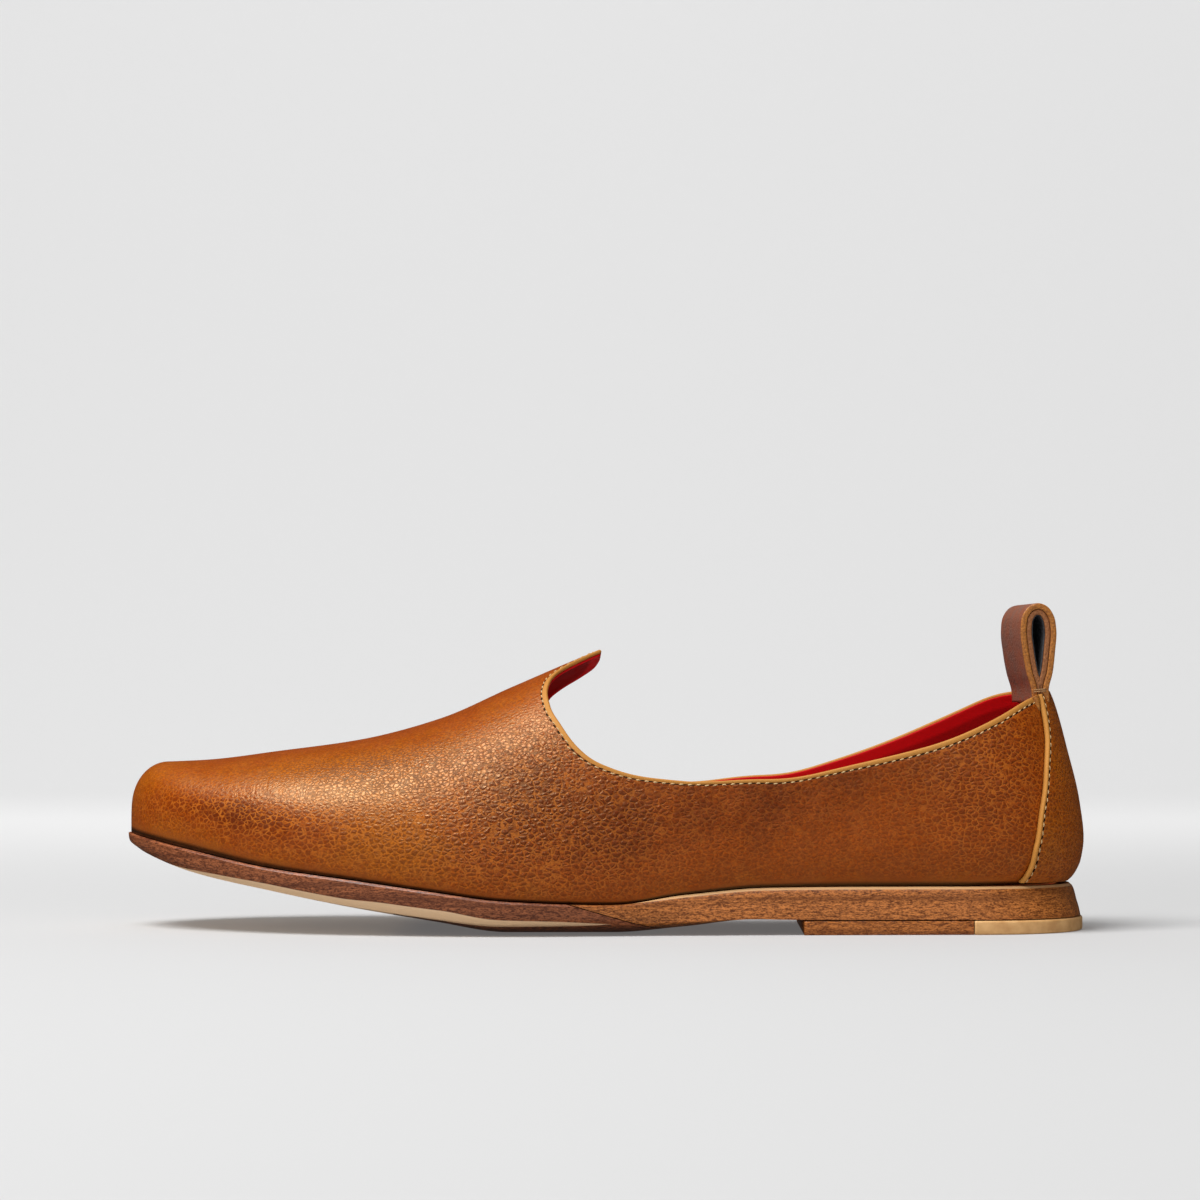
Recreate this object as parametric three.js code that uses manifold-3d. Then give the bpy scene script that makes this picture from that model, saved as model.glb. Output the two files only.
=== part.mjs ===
import * as THREE from 'three';
import Module from 'manifold-3d';
import { mergeGeometries, mergeVertices } from 'three/addons/utils/BufferGeometryUtils.js';

// A slip-on mojari loafer for the left foot, in millimetres.
// The toe points to -X, the heel to +X, the outer side of the foot is -Y, and the floor is Z = 0.

// Driving sizes
const TOE_X = -148;
const SOLE_HEEL_X = 147;
const UPPER_TOE_X = -147.2;
const UPPER_HEEL_X = 140.2;
const TOE_ROUND = 60;
const HEEL_ROUND = 36;
const HEEL_SQUARENESS = 2.2;
const GAP = 0.3;
const UPPER_WALL = 2;
const COUNTER_WALL = 1.2;
const INSOLE_THICK = 2.5;
const INSOLE_GAP = 0.5;

// Sections along the shoe, from toe to heel
//   axis: sideways place of the centre line        half: half width of the sole, before its ends are rounded
//   feather: height where upper meets sole           ridge: height of the last's top line
//   margin: how far the feather line is inside the sole's edge
//   belly: how far the side wall stands out past the feather line, and bellyUp: how high above it
//   full: extra roundness of the shoulder            under: height of the sole's bottom on the centre line
//   camber: how far the sole's edge rises above that line
const SECTIONS = {
  x: [-148, -125, -100, -75, -50, -28, 4, 25, 50, 75, 100, 125, 148],
  axis: [7.2, 6.8, 4.8, 2.2, -0.8, -3.5, -5.9, -6.2, -5.2, -3.8, -2.2, -1.2, -1.2],
  half: [37.0, 40.0, 44.0, 47.5, 48.5, 46.5, 39.8, 36.0, 34.0, 33.5, 33.5, 33.5, 33.5],
  feather: [29.6, 25.0, 20.2, 17.0, 13.6, 10.8, 9.6, 12.3, 14.3, 14.5, 14.5, 14.5, 14.5],
  ridge: [50.6, 51.5, 54.5, 58.0, 64.6, 74.2, 87.6, 95.0, 101.0, 102.0, 101.0, 99.0, 98.0],
  margin: [2.2, 2.5, 2.6, 2.6, 2.6, 2.7, 3.0, 3.3, 3.8, 4.2, 4.5, 4.5, 4.5],
  belly: [0.8, 1.0, 1.0, 1.0, 1.0, 1.0, 1.5, 2.4, 3.0, 3.4, 3.6, 3.6, 3.6],
  bellyUp: [3, 8, 8, 8, 9, 10, 11, 12, 13, 13, 13, 13, 13],
  full: [0.05, 0.06, 0.05, 0.04, 0.02, 0, 0, 0, 0, 0, 0, 0, 0],
  under: [25.5, 17.6, 12.2, 7.3, 3.2, 0.0, 0.0, 1.8, 4.5, 4.5, 4.5, 4.5, 4.5],
  camber: [0.0, 0.5, 1.0, 1.6, 2.4, 3.6, 3.5, 2.4, 0.3, 0.0, 0.0, 0.0, 0.0],
};

// The toe's top rolls over into its front wall within this length and drop
const TOE_ROLL = 11;
const TOE_DROP = 14;

// Back line of the heel: how far it stands behind the feather line at each height, faded out to the waist
const HEEL_BACK = [
  { z: 14.5, out: 0 },
  { z: 18, out: 3.6 },
  { z: 22, out: 5.4 },
  { z: 28, out: 6.2 },
  { z: 39, out: 5.0 },
  { z: 55, out: 1.3 },
  { z: 69, out: -2.5 },
  { z: 75, out: -5.0 },
];
const HEEL_BACK_FROM = 70;

// Edge of the opening. fall is the angle in degrees from the ridge down to the edge of the tongue and throat.
// The tongue leans to the inner side, so its end is cut across there and its inner edge lies lower.
const TONGUE_OUTER = [
  { x: -0.5, fall: 0 },
  { x: -6, fall: 5 },
  { x: -12, fall: 10 },
  { x: -15.6, fall: 18 },
  { x: -16.4, fall: 26 },
  { x: -15.2, fall: 36 },
  { x: -11.6, fall: 46 },
  { x: -7.5, fall: 54 },
  { x: -2.4, fall: 60 },
];
const TONGUE_INNER = [
  { x: -0.5, fall: 0 },
  { x: -0.8, fall: 10 },
  { x: -2.4, fall: 17.5 },
  { x: -7, fall: 21.5 },
  { x: -12, fall: 24 },
  { x: -16.5, fall: 28 },
  { x: -18.1, fall: 34 },
  { x: -17, fall: 41.5 },
  { x: -13.4, fall: 49.5 },
  { x: -9.2, fall: 56.5 },
  { x: -3.8, fall: 62 },
];
// outer and inner are the edge's heights on the two sides of the foot
const COLLAR = [
  { x: 3.5, outer: 50, inner: 47.8 },
  { x: 17, outer: 46.8, inner: 44.9 },
  { x: 30, outer: 45.7, inner: 44.3 },
  { x: 54, outer: 46.5, inner: 46.6 },
  { x: 74, outer: 50.5, inner: 51.8 },
  { x: 89, outer: 54, inner: 57.2 },
  { x: 103, outer: 57.8, inner: 63 },
  { x: 116, outer: 63, inner: 68.3 },
  { x: 125, outer: 67, inner: 72 },
  { x: 133, outer: 71, inner: 73.4 },
  { x: 140.2, outer: 73.4, inner: 73.4 },
];

// Below the widest line the wall curls in by this many degrees, drawn over this much of the section's angle
const CURL = 65;
const CURL_SPAN = 20;
const FEATHER_FALL = 90 + CURL_SPAN;

// Side of the sole from top to bottom: down is the share of its thickness, fore and rear how far it is out
const SOLE_SIDE = [
  { down: 0, fore: -0.7, rear: -3.4 },
  { down: 0.1, fore: 0, rear: -2.4 },
  { down: 0.55, fore: -0.2, rear: -1.1 },
  { down: 0.72, fore: -0.6, rear: -0.6 },
  { down: 1, fore: -3.2, rear: 0 },
];
const SIDE_CHANGE_FROM = -10;
const SIDE_CHANGE_TO = 35;
const FLAT_SHARE = 0.45;

// The scarf joint runs down and back from the sole's top to its bottom
const SCARF_TOP = { x: -8, z: 9.2 };
const SCARF_LOW = { x: 12, z: 3.2 };

// Heel layer under the rear of the sole
const HEEL_FRONT_X = 61;
const RUBBER_FRONT_X = 112;
const LIFT_HEIGHT = 4.2;
const HEEL_BREAST = 2.5;
const RUBBER_PROUD = 0.6;

// Counter: the strip's front edge from its foot (up = 0) to its head (up = 1), and where foot and head lie
const COUNTER_FRONT = [
  { up: 0, x: 124.2 },
  { up: 0.28, x: 124.6 },
  { up: 0.42, x: 126.1 },
  { up: 0.62, x: 130.3 },
  { up: 0.8, x: 134.2 },
  { up: 1, x: 136 },
];
const COUNTER_FOOT = 0.04;
const COUNTER_HEAD = 0.985;
const COUNTER_GAP = 0.5;

// Pull loop: the strap's outline from the side, front and back faces at each height, and its hole
const LOOP_SIDE = [
  { z: 73.6, front: 129.2, back: 134.8 },
  { z: 78, front: 127.9, back: 135.9 },
  { z: 85, front: 126.6, back: 136.8 },
  { z: 92, front: 126.0, back: 137.2 },
  { z: 96, front: 126.6, back: 136.4 },
  { z: 98.8, front: 128.6, back: 134.4 },
];
const LOOP_TOP = { x: 131.6, z: 99.8 };
const LOOP_HOLE = [
  { z: 80, front: 131.2, back: 132.4 },
  { z: 86, front: 130.6, back: 133.0 },
  { z: 92, front: 129.8, back: 133.4 },
];
const LOOP_HOLE_LOW = { x: 131.8, z: 77 };
const LOOP_HOLE_TOP = { x: 131.6, z: 96 };
const LOOP_WIDTH = 26;
const LOOP_SKEW = 8.5;

// Mesh densities
const UPPER_ALONG = 52;
const UPPER_UP = 18;
const SOLE_ALONG = 44;
const TOE_SHARE = 3 / UPPER_UP;
const CENTRE_HOLD = 5;

const radians = THREE.MathUtils.degToRad;
const mix = THREE.MathUtils.lerp;

// Monotone cubic through the rows of a table: it never swings past a row, so flat runs stay flat
function curveThrough(xs, ys) {
  const steps = xs.slice(1).map((x, i) => x - xs[i]);
  const rises = ys.slice(1).map((y, i) => (y - ys[i]) / steps[i]);
  const slopes = xs.map((_, i) => slopeAt(i, steps, rises));
  return (x) => {
    const last = xs.length - 2;
    const found = xs.findIndex((edge) => x < edge) - 1;
    const i = found === -2 ? last : Math.max(found, 0);
    const t = THREE.MathUtils.clamp((x - xs[i]) / steps[i], 0, 1);
    const bend = ys[i] * (1 + 2 * t) * (1 - t) ** 2 + ys[i + 1] * t * t * (3 - 2 * t);
    const lean = slopes[i] * t * (1 - t) ** 2 - slopes[i + 1] * t * t * (1 - t);
    return bend + steps[i] * lean;
  };
}

// Slope at one row: zero at a turn, else a weighted harmonic mean of the two neighbouring rises
function slopeAt(i, steps, rises) {
  if (i === 0) return rises[0];
  if (i === rises.length) return rises[i - 1];
  if (rises[i - 1] * rises[i] <= 0) return 0;
  const before = 2 * steps[i] + steps[i - 1];
  const after = steps[i] + 2 * steps[i - 1];
  return (before + after) / (before / rises[i - 1] + after / rises[i]);
}

function column(rows, along, name) {
  return curveThrough(rows.map((row) => row[along]), rows.map((row) => row[name]));
}

const section = {};
for (const name of Object.keys(SECTIONS)) {
  section[name] = curveThrough(SECTIONS.x, SECTIONS[name]);
}
const heelBack = column(HEEL_BACK, 'z', 'out');
const counterFront = column(COUNTER_FRONT, 'up', 'x');

// Rounds both ends of an outline: 1 along the middle, falling to 0 at either end
function endRound(x, toe, heel) {
  const toeReach = THREE.MathUtils.clamp((toe + TOE_ROUND - x) / TOE_ROUND, 0, 1);
  const heelReach = THREE.MathUtils.clamp((x - heel + HEEL_ROUND) / HEEL_ROUND, 0, 1);
  const toeShare = Math.sqrt(1 - toeReach ** 2);
  const heelShare = (1 - heelReach ** HEEL_SQUARENESS) ** (1 / HEEL_SQUARENESS);
  return toeShare * heelShare;
}

// Stations lie closer together towards both ends, where the outline turns
function stationX(share, toe, heel) {
  return toe + (heel - toe) * (1 - Math.cos(Math.PI * share)) / 2;
}

function stationShare(x, toe, heel) {
  return Math.acos(1 - 2 * (x - toe) / (heel - toe)) / Math.PI;
}

// Height of the last's top line, rolled over at the toe
function ridgeHeight(x) {
  const reach = THREE.MathUtils.clamp((UPPER_TOE_X + TOE_ROLL - x) / TOE_ROLL, 0, 1);
  return section.ridge(x) - TOE_DROP * (1 - Math.sqrt(1 - reach * reach));
}

// A point of the last: share runs from toe to heel, rise from the feather line (0) to the ridge (1).
// Above the widest line the section is a quarter of an ellipse, below it the wall curls to the feather line.
function lastPoint(share, rise, side) {
  const x = stationX(share, UPPER_TOE_X, UPPER_HEEL_X);
  const round = endRound(x, UPPER_TOE_X, UPPER_HEEL_X);
  const belly = section.belly(x);
  const widest = section.half(x) - section.margin(x) + belly;
  const feather = section.feather(x);
  const widestZ = feather + section.bellyUp(x);
  const fall = radians((1 - rise) * FEATHER_FALL);
  let out = widest;
  let z = widestZ;
  if (fall <= Math.PI / 2) {
    const shoulder = 1 + section.full(x) * Math.sin(2 * fall) ** 2;
    out = widest * Math.sin(fall) * shoulder;
    z = widestZ + (ridgeHeight(x) - widestZ) * Math.cos(fall) * shoulder;
  } else {
    const curl = (fall - Math.PI / 2) * CURL / CURL_SPAN;
    out = widest - belly * (1 - Math.cos(curl)) / (1 - Math.cos(radians(CURL)));
    z = widestZ - (widestZ - feather) * Math.sin(curl) / Math.sin(radians(CURL));
  }
  const lean = heelBack(z) * THREE.MathUtils.smoothstep(x, HEEL_BACK_FROM, UPPER_HEEL_X);
  return new THREE.Vector3(x + lean, section.axis(x) + side * out * round, z);
}

// The same place on the last given by its height, above the widest line
function riseAtHeight(x, z) {
  const widestZ = section.feather(x) + section.bellyUp(x);
  const fall = Math.acos((z - widestZ) / (ridgeHeight(x) - widestZ));
  return 1 - THREE.MathUtils.radToDeg(fall) / FEATHER_FALL;
}

// Edge of the opening on one side of the foot, from the tongue's tip to the back line, as share and rise
function openingEdge(side, tongue, heightName) {
  const throat = tongue.map((row) => ({ x: row.x, rise: 1 - row.fall / FEATHER_FALL }));
  const collar = COLLAR.map((row) => ({ x: row.x, rise: riseAtHeight(row.x, row[heightName]) }));
  const rows = [...throat, ...collar];
  for (const row of rows) {
    row.share = stationShare(row.x, UPPER_TOE_X, UPPER_HEEL_X);
    row.point = lastPoint(row.share, row.rise, side);
  }
  const lengths = [0];
  rows.slice(1).forEach((row, i) => lengths.push(lengths[i] + row.point.distanceTo(rows[i].point)));
  const total = lengths[lengths.length - 1];
  const places = lengths.map((length) => length / total);
  const share = curveThrough(places, rows.map((row) => row.share));
  const rise = curveThrough(places, rows.map((row) => row.rise));
  return (u) => ({ share: share(u), rise: rise(u) });
}

const OUTER = -1;
const INNER = 1;
const opening = {
  [OUTER]: openingEdge(OUTER, TONGUE_OUTER, 'outer'),
  [INNER]: openingEdge(INNER, TONGUE_INNER, 'inner'),
};

// Centre line of the upper: up the toe's front wall, then along the ridge to the tongue's tip
function centreLine(v) {
  const tip = opening[OUTER](0).share;
  if (v < TOE_SHARE) return { share: 0, rise: v / TOE_SHARE };
  return { share: tip * (v - TOE_SHARE) / (1 - TOE_SHARE), rise: 1 };
}

// Half of the upper as a four-sided patch. u runs from the centre line to the back line, v from the feather
// line to the opening. Straight lines join feather line and opening in the last's own shares, and the centre
// line bends them, by a weight that fades quickly with u.
function upperPoint(u, v, side) {
  const edge = opening[side];
  const high = edge(u);
  const centre = centreLine(v);
  const hold = (1 - u) ** CENTRE_HOLD;
  const share = mix(u, high.share, v) + hold * (centre.share - v * edge(0).share);
  const rise = v * high.rise + hold * (centre.rise - v * edge(0).rise);
  return lastPoint(THREE.MathUtils.clamp(share, 0, 1), THREE.MathUtils.clamp(rise, 0, 1), side);
}

// A grid of points as an open surface, facing out on either side of the foot
function gridSurface(pointAt, columns, rows, side) {
  const positions = [];
  const index = [];
  for (let i = 0; i <= columns; i += 1) {
    for (let j = 0; j <= rows; j += 1) {
      positions.push(...pointAt(i / columns, j / rows, side).toArray());
    }
  }
  for (let i = 0; i < columns; i += 1) {
    for (let j = 0; j < rows; j += 1) {
      const a = i * (rows + 1) + j;
      const b = a + rows + 1;
      const quad = [a, b, b + 1, a, b + 1, a + 1];
      index.push(...(side === OUTER ? quad : quad.reverse()));
    }
  }
  return geometryFrom(positions, index);
}

function geometryFrom(positions, index) {
  const geometry = new THREE.BufferGeometry();
  geometry.setAttribute('position', new THREE.Float32BufferAttribute(positions, 3));
  geometry.setIndex(index);
  return geometry;
}

// Both sides of the foot as one open surface, welded along the centre line and the back line
function bothSides(pointAt, columns, rows) {
  const halves = [OUTER, INNER].map((side) => gridSurface(pointAt, columns, rows, side));
  return mergeVertices(mergeGeometries(halves), 1e-3);
}

// A closed wall between two offsets of an open surface, with rim faces along its open edges
function wallBetween(surface, low, high) {
  surface.computeVertexNormals();
  const place = surface.getAttribute('position');
  const normal = surface.getAttribute('normal');
  const faces = Array.from(surface.getIndex().array);
  const positions = [];
  for (const offset of [high, low]) {
    for (let i = 0; i < place.count; i += 1) {
      const point = new THREE.Vector3().fromBufferAttribute(place, i);
      point.addScaledVector(new THREE.Vector3().fromBufferAttribute(normal, i), offset);
      positions.push(...point.toArray());
    }
  }
  const under = place.count;
  const index = [...faces];
  const edges = new Map();
  for (let f = 0; f < faces.length; f += 3) {
    const [a, b, c] = faces.slice(f, f + 3);
    index.push(c + under, b + under, a + under);
    for (const [from, to] of [[a, b], [b, c], [c, a]]) edges.set(`${from} ${to}`, [from, to]);
  }
  for (const [from, to] of edges.values()) {
    if (edges.has(`${to} ${from}`)) continue;
    index.push(to, from, from + under, to, from + under, to + under);
  }
  return geometryFrom(positions, index);
}

// Counter: the strip of the upper's own surface between its front edge and the back line
function counterPoint(u, v, side) {
  const x = mix(counterFront(v), UPPER_HEEL_X, Math.sin(u * Math.PI / 2));
  const share = stationShare(x, UPPER_TOE_X, UPPER_HEEL_X);
  const top = riseAtHeight(x, column(COLLAR, 'x', side === OUTER ? 'outer' : 'inner')(x));
  return lastPoint(share, mix(COUNTER_FOOT, COUNTER_HEAD * top, v), side);
}

// Heights of the sole: its top dishes down between the edges as much as its bottom is cambered.
// round is the outline's end rounding, so that both fade out at the toe.
function soleTop(x, across, round) {
  return section.feather(x) - GAP - section.camber(x) * round * (1 - across * across);
}

function soleBottom(x, across, round) {
  const reach = THREE.MathUtils.clamp((across - FLAT_SHARE) / (1 - FLAT_SHARE), 0, 1);
  return section.under(x) + section.camber(x) * round * reach * reach;
}

// A solid of rings across the shoe. Each row of a ring has an outline offset, a share across and a height.
function ringSolid(rows, columns) {
  const positions = [];
  const index = [];
  for (let i = 0; i <= columns; i += 1) {
    for (const row of rows) {
      const guess = stationX(i / columns, TOE_X, SOLE_HEEL_X);
      const offset = row.offset(guess);
      const x = stationX(i / columns, TOE_X - offset, SOLE_HEEL_X + offset);
      const round = endRound(x, TOE_X - offset, SOLE_HEEL_X + offset);
      const half = (section.half(x) + offset) * round;
      positions.push(x, section.axis(x) + row.side * half * row.across, row.height(x, row.across, round));
    }
  }
  const count = rows.length;
  for (let i = 0; i < columns; i += 1) {
    for (let j = 0; j < count; j += 1) {
      const a = i * count + j;
      const b = i * count + (j + 1) % count;
      index.push(a, a + count, b + count, a, b + count, b);
    }
  }
  return closedMesh(positions, index);
}

// Welds shared points, drops faces that have shrunk to a line, and turns the faces outwards
function closedMesh(positions, index) {
  const welded = mergeVertices(geometryFrom(positions, index), 1e-3);
  const all = welded.getIndex().array;
  const kept = [];
  for (let f = 0; f < all.length; f += 3) {
    const [a, b, c] = all.slice(f, f + 3);
    if (a !== b && b !== c && c !== a) kept.push(a, b, c);
  }
  welded.setIndex(signedVolume(welded, kept) < 0 ? kept.reverse() : kept);
  return welded;
}

function signedVolume(geometry, index) {
  const place = geometry.getAttribute('position');
  let volume = 0;
  for (let f = 0; f < index.length; f += 3) {
    const [a, b, c] = index.slice(f, f + 3).map((i) => new THREE.Vector3().fromBufferAttribute(place, i));
    volume += a.dot(b.cross(c)) / 6;
  }
  return volume;
}

// The whole sole as one blank: top surface, stepped side and cambered bottom
function soleBlank() {
  const sideOffset = (row) => (x) => {
    const rear = THREE.MathUtils.smoothstep(x, SIDE_CHANGE_FROM, SIDE_CHANGE_TO);
    return mix(row.fore, row.rear, rear);
  };
  const topOffset = sideOffset(SOLE_SIDE[0]);
  const lowOffset = sideOffset(SOLE_SIDE[SOLE_SIDE.length - 1]);
  const half = (side) => [
    { across: 0.5, side, offset: topOffset, height: soleTop },
    ...SOLE_SIDE.map((row) => ({
      across: 1,
      side,
      offset: sideOffset(row),
      height: (x, across, round) => mix(soleTop(x, 1, round), soleBottom(x, 1, round), row.down),
    })),
    { across: 0.72, side, offset: lowOffset, height: soleBottom },
    { across: FLAT_SHARE, side, offset: lowOffset, height: soleBottom },
  ];
  const topCentre = { across: 0, side: INNER, offset: topOffset, height: soleTop };
  return ringSolid([topCentre, ...half(INNER), ...half(OUTER).reverse()], SOLE_ALONG);
}

// Insole: a thin board on the sole's dished top, inside the upper's wall
function insoleSolid() {
  const heelInset = SOLE_HEEL_X - UPPER_HEEL_X;
  const offset = (x) => {
    const atHeel = THREE.MathUtils.smoothstep(x, SOLE_HEEL_X - HEEL_ROUND, SOLE_HEEL_X);
    return -(mix(section.margin(x), heelInset, atHeel) + UPPER_WALL + 2 * GAP);
  };
  const low = (x, across, round) => soleTop(x, across, round) + INSOLE_GAP;
  const high = (x, across, round) => low(x, across, round) + INSOLE_THICK;
  const rows = [];
  for (const across of [1, 0.5, 0]) rows.push({ across, side: INNER, offset, height: low });
  for (const across of [0.5, 1]) rows.push({ across, side: OUTER, offset, height: low });
  for (const across of [1, 0.5]) rows.push({ across, side: OUTER, offset, height: high });
  for (const across of [0, 0.5, 1]) rows.push({ across, side: INNER, offset, height: high });
  return ringSolid(rows, SOLE_ALONG);
}

// Outline of the heel layer between two places along the shoe, extruded up from the floor.
// Its front edge is hollowed slightly towards the heel.
function heelLayer(from, to, offset, hollow, steps) {
  const outline = [];
  const heel = SOLE_HEEL_X + offset;
  const edge = (x, side) => {
    const half = (section.half(x) + offset) * endRound(x, TOE_X, heel);
    return new THREE.Vector2(x, section.axis(x) + side * half);
  };
  for (let i = 0; i <= steps; i += 1) {
    outline.push(edge(mix(from, to, Math.sin(i / steps * Math.PI / 2)), OUTER));
  }
  const first = to === heel ? 1 : 0;
  for (let i = first; i <= steps; i += 1) {
    outline.push(edge(mix(to, from, 1 - Math.cos(i / steps * Math.PI / 2)), INNER));
  }
  if (hollow > 0) outline.push(new THREE.Vector2(from + hollow, section.axis(from)));
  const shape = new THREE.Shape(outline);
  return new THREE.ExtrudeGeometry(shape, { depth: LIFT_HEIGHT, bevelEnabled: false });
}

// Pull loop: the folded strap's side outline with its hole, extruded across the shoe and turned in plan
function pullLoop() {
  const ring = (rows, top) => [
    ...rows.map((row) => new THREE.Vector2(row.front, row.z)),
    new THREE.Vector2(top.x, top.z),
    ...rows.map((row) => new THREE.Vector2(row.back, row.z)).reverse(),
  ];
  const shape = new THREE.Shape(ring(LOOP_SIDE, LOOP_TOP));
  const hole = [new THREE.Vector2(LOOP_HOLE_LOW.x, LOOP_HOLE_LOW.z), ...ring(LOOP_HOLE, LOOP_HOLE_TOP)];
  shape.holes.push(new THREE.Path(hole.reverse()));
  const geometry = new THREE.ExtrudeGeometry(shape, { depth: LOOP_WIDTH, bevelEnabled: false });
  geometry.translate(-LOOP_TOP.x, 0, -LOOP_WIDTH / 2);
  geometry.rotateX(Math.PI / 2);
  geometry.rotateZ(radians(LOOP_SKEW));
  geometry.translate(LOOP_TOP.x, section.axis(LOOP_TOP.x), 0);
  return geometry;
}

// Solid cuts
const wasm = await Module();
wasm.setup();

function solidFrom(geometry) {
  const bare = geometry.clone();
  bare.deleteAttribute('normal');
  bare.deleteAttribute('uv');
  const merged = mergeVertices(bare, 1e-4);
  const vertProperties = new Float32Array(merged.getAttribute('position').array);
  const triVerts = new Uint32Array(merged.getIndex().array);
  return new wasm.Manifold(new wasm.Mesh({ numProp: 3, vertProperties, triVerts }));
}

function geometryOf(solid) {
  const mesh = solid.getMesh();
  return geometryFrom(Array.from(mesh.vertProperties), Array.from(mesh.triVerts));
}

// A large block whose lower or upper face is the scarf joint's plane
function scarfBlock(above) {
  const size = 800;
  const slope = Math.atan2(SCARF_LOW.z - SCARF_TOP.z, SCARF_LOW.x - SCARF_TOP.x);
  const block = new THREE.BoxGeometry(size, size, size);
  block.translate(0, 0, above ? size / 2 + GAP / 2 : -size / 2 - GAP / 2);
  block.rotateY(-slope);
  block.translate(SCARF_TOP.x, 0, SCARF_TOP.z);
  return solidFrom(block);
}

// Assembly
function piece(name, geometry, color, roughness) {
  const material = new THREE.MeshStandardMaterial({ color, roughness, metalness: 0 });
  const mesh = new THREE.Mesh(geometry, material);
  mesh.name = name;
  return mesh;
}

const upperSurface = bothSides(upperPoint, UPPER_ALONG, UPPER_UP);
const counterSurface = bothSides(counterPoint, 7, 12);
const blank = solidFrom(soleBlank());
const outsole = blank.intersect(scarfBlock(false));
const rearSole = blank.intersect(scarfBlock(true));
const rubberEnd = SOLE_HEEL_X + RUBBER_PROUD;

const loafer = new THREE.Group();
loafer.add(
  piece('upper', wallBetween(upperSurface, -UPPER_WALL, 0), '#a8641f', 0.5),
  piece('counter', wallBetween(counterSurface, COUNTER_GAP, COUNTER_GAP + COUNTER_WALL), '#9c5c20', 0.5),
  piece('pull_loop', pullLoop(), '#a4652a', 0.5),
  piece('insole', insoleSolid(), '#a01318', 0.6),
  piece('outsole', geometryOf(outsole), '#54413a', 0.6),
  piece('rear_sole', geometryOf(rearSole), '#7a5540', 0.6),
  piece('heel_lift', heelLayer(HEEL_FRONT_X, RUBBER_FRONT_X - GAP, 0, HEEL_BREAST, 1), '#6d4a38', 0.6),
  piece('heel_rubber', heelLayer(RUBBER_FRONT_X, rubberEnd, RUBBER_PROUD, 0, 14), '#c9b79c', 0.7),
);

export default loafer;
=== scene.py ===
# %% [markdown]
# # A mojari loafer in the studio
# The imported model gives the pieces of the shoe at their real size: upper, counter, pull loop, insole and
# the layers of the sole. This lesson dresses them. Each visible piece is worked out again as a fine
# surface from the same few tables that shaped the solids, so the dressed shoe lies exactly over them, and
# then gets its leather, thread or rubber.

# %% Load the frame
import math

import bpy
import numpy as np
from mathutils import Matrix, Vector


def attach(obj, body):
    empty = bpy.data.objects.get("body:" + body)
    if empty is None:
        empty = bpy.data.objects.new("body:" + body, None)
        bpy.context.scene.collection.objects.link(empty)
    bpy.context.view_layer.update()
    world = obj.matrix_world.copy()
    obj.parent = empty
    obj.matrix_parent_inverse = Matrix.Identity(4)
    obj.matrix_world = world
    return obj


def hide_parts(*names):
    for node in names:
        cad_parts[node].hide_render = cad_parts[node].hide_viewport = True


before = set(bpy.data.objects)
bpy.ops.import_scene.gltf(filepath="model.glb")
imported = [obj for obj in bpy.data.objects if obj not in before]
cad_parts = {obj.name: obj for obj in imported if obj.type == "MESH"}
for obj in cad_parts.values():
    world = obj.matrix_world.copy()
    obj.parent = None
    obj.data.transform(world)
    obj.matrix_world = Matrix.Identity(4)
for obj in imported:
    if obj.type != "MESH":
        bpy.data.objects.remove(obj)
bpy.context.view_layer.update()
MM = 0.001
print("nodes:", sorted(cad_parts))

# %% [markdown]
# ## Curves through short tables
# A shoemaker's last is described by its sections: a few rows of sizes from toe to heel. Between the rows
# the sizes have to change smoothly without swinging past a row, or a flat sole would ripple. A monotone
# cubic does that, and evaluating it on whole arrays keeps every later surface a single numpy expression.

# %% Curves and small helpers


def cubic(xs, ys, slope):
    """A function of x: between two rows, the cubic that has their values and their slopes."""
    step = np.diff(xs)

    def at(x):
        x = np.clip(x, xs[0], xs[-1])
        i = np.clip(np.searchsorted(xs, x, side="right") - 1, 0, len(step) - 1)
        t = (x - xs[i]) / step[i]
        bend = ys[i] * (1 + 2 * t) * (1 - t) ** 2 + ys[i + 1] * t * t * (3 - 2 * t)
        return bend + step[i] * (slope[i] * t * (1 - t) ** 2 - slope[i + 1] * t * t * (1 - t))

    return at


def smooth_through(places, values):
    """A cubic whose slope at a row is that of the parabola through its neighbours."""
    xs, ys = np.asarray(places, float), np.asarray(values, float)
    return cubic(xs, ys, np.gradient(ys, xs))


def curve_through(places, values):
    """A monotone cubic: its slope at a row is the weighted harmonic mean of the two neighbouring rises, or
    zero where they differ in sign."""
    xs, ys = np.asarray(places, float), np.asarray(values, float)
    step = np.diff(xs)
    rise = np.diff(ys) / step
    before = 2 * step[1:] + step[:-1]
    after = step[1:] + 2 * step[:-1]
    same = rise[:-1] * rise[1:] > 0
    left = np.where(same, rise[:-1], 1.0)
    right = np.where(same, rise[1:], 1.0)
    inner = np.where(same, (before + after) / (before / left + after / right), 0.0)
    return cubic(xs, ys, np.concatenate([rise[:1], inner, rise[-1:]]))


def smoothstep(x, low, high):
    """Runs from 0 to 1 between low and high, level at both ends."""
    t = np.clip((x - low) / (high - low), 0.0, 1.0)
    return t * t * (3 - 2 * t)


def unit(vectors):
    """Vectors scaled to length one."""
    return vectors / np.maximum(np.linalg.norm(vectors, axis=-1, keepdims=True), 1e-9)


print("halfway up a smooth step:", smoothstep(0.5, 0.0, 1.0))

# %% [markdown]
# ## The last
# The last is the wooden foot that the leather is pulled over. Each section across it is a quarter of an
# ellipse from the ridge down to the widest line, and below that the wall curls in to the feather line,
# where the upper meets the sole. Sculpting would be quicker to begin, but a formula gives the lining, the
# counter and every seam their exact place on the same skin.

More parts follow.
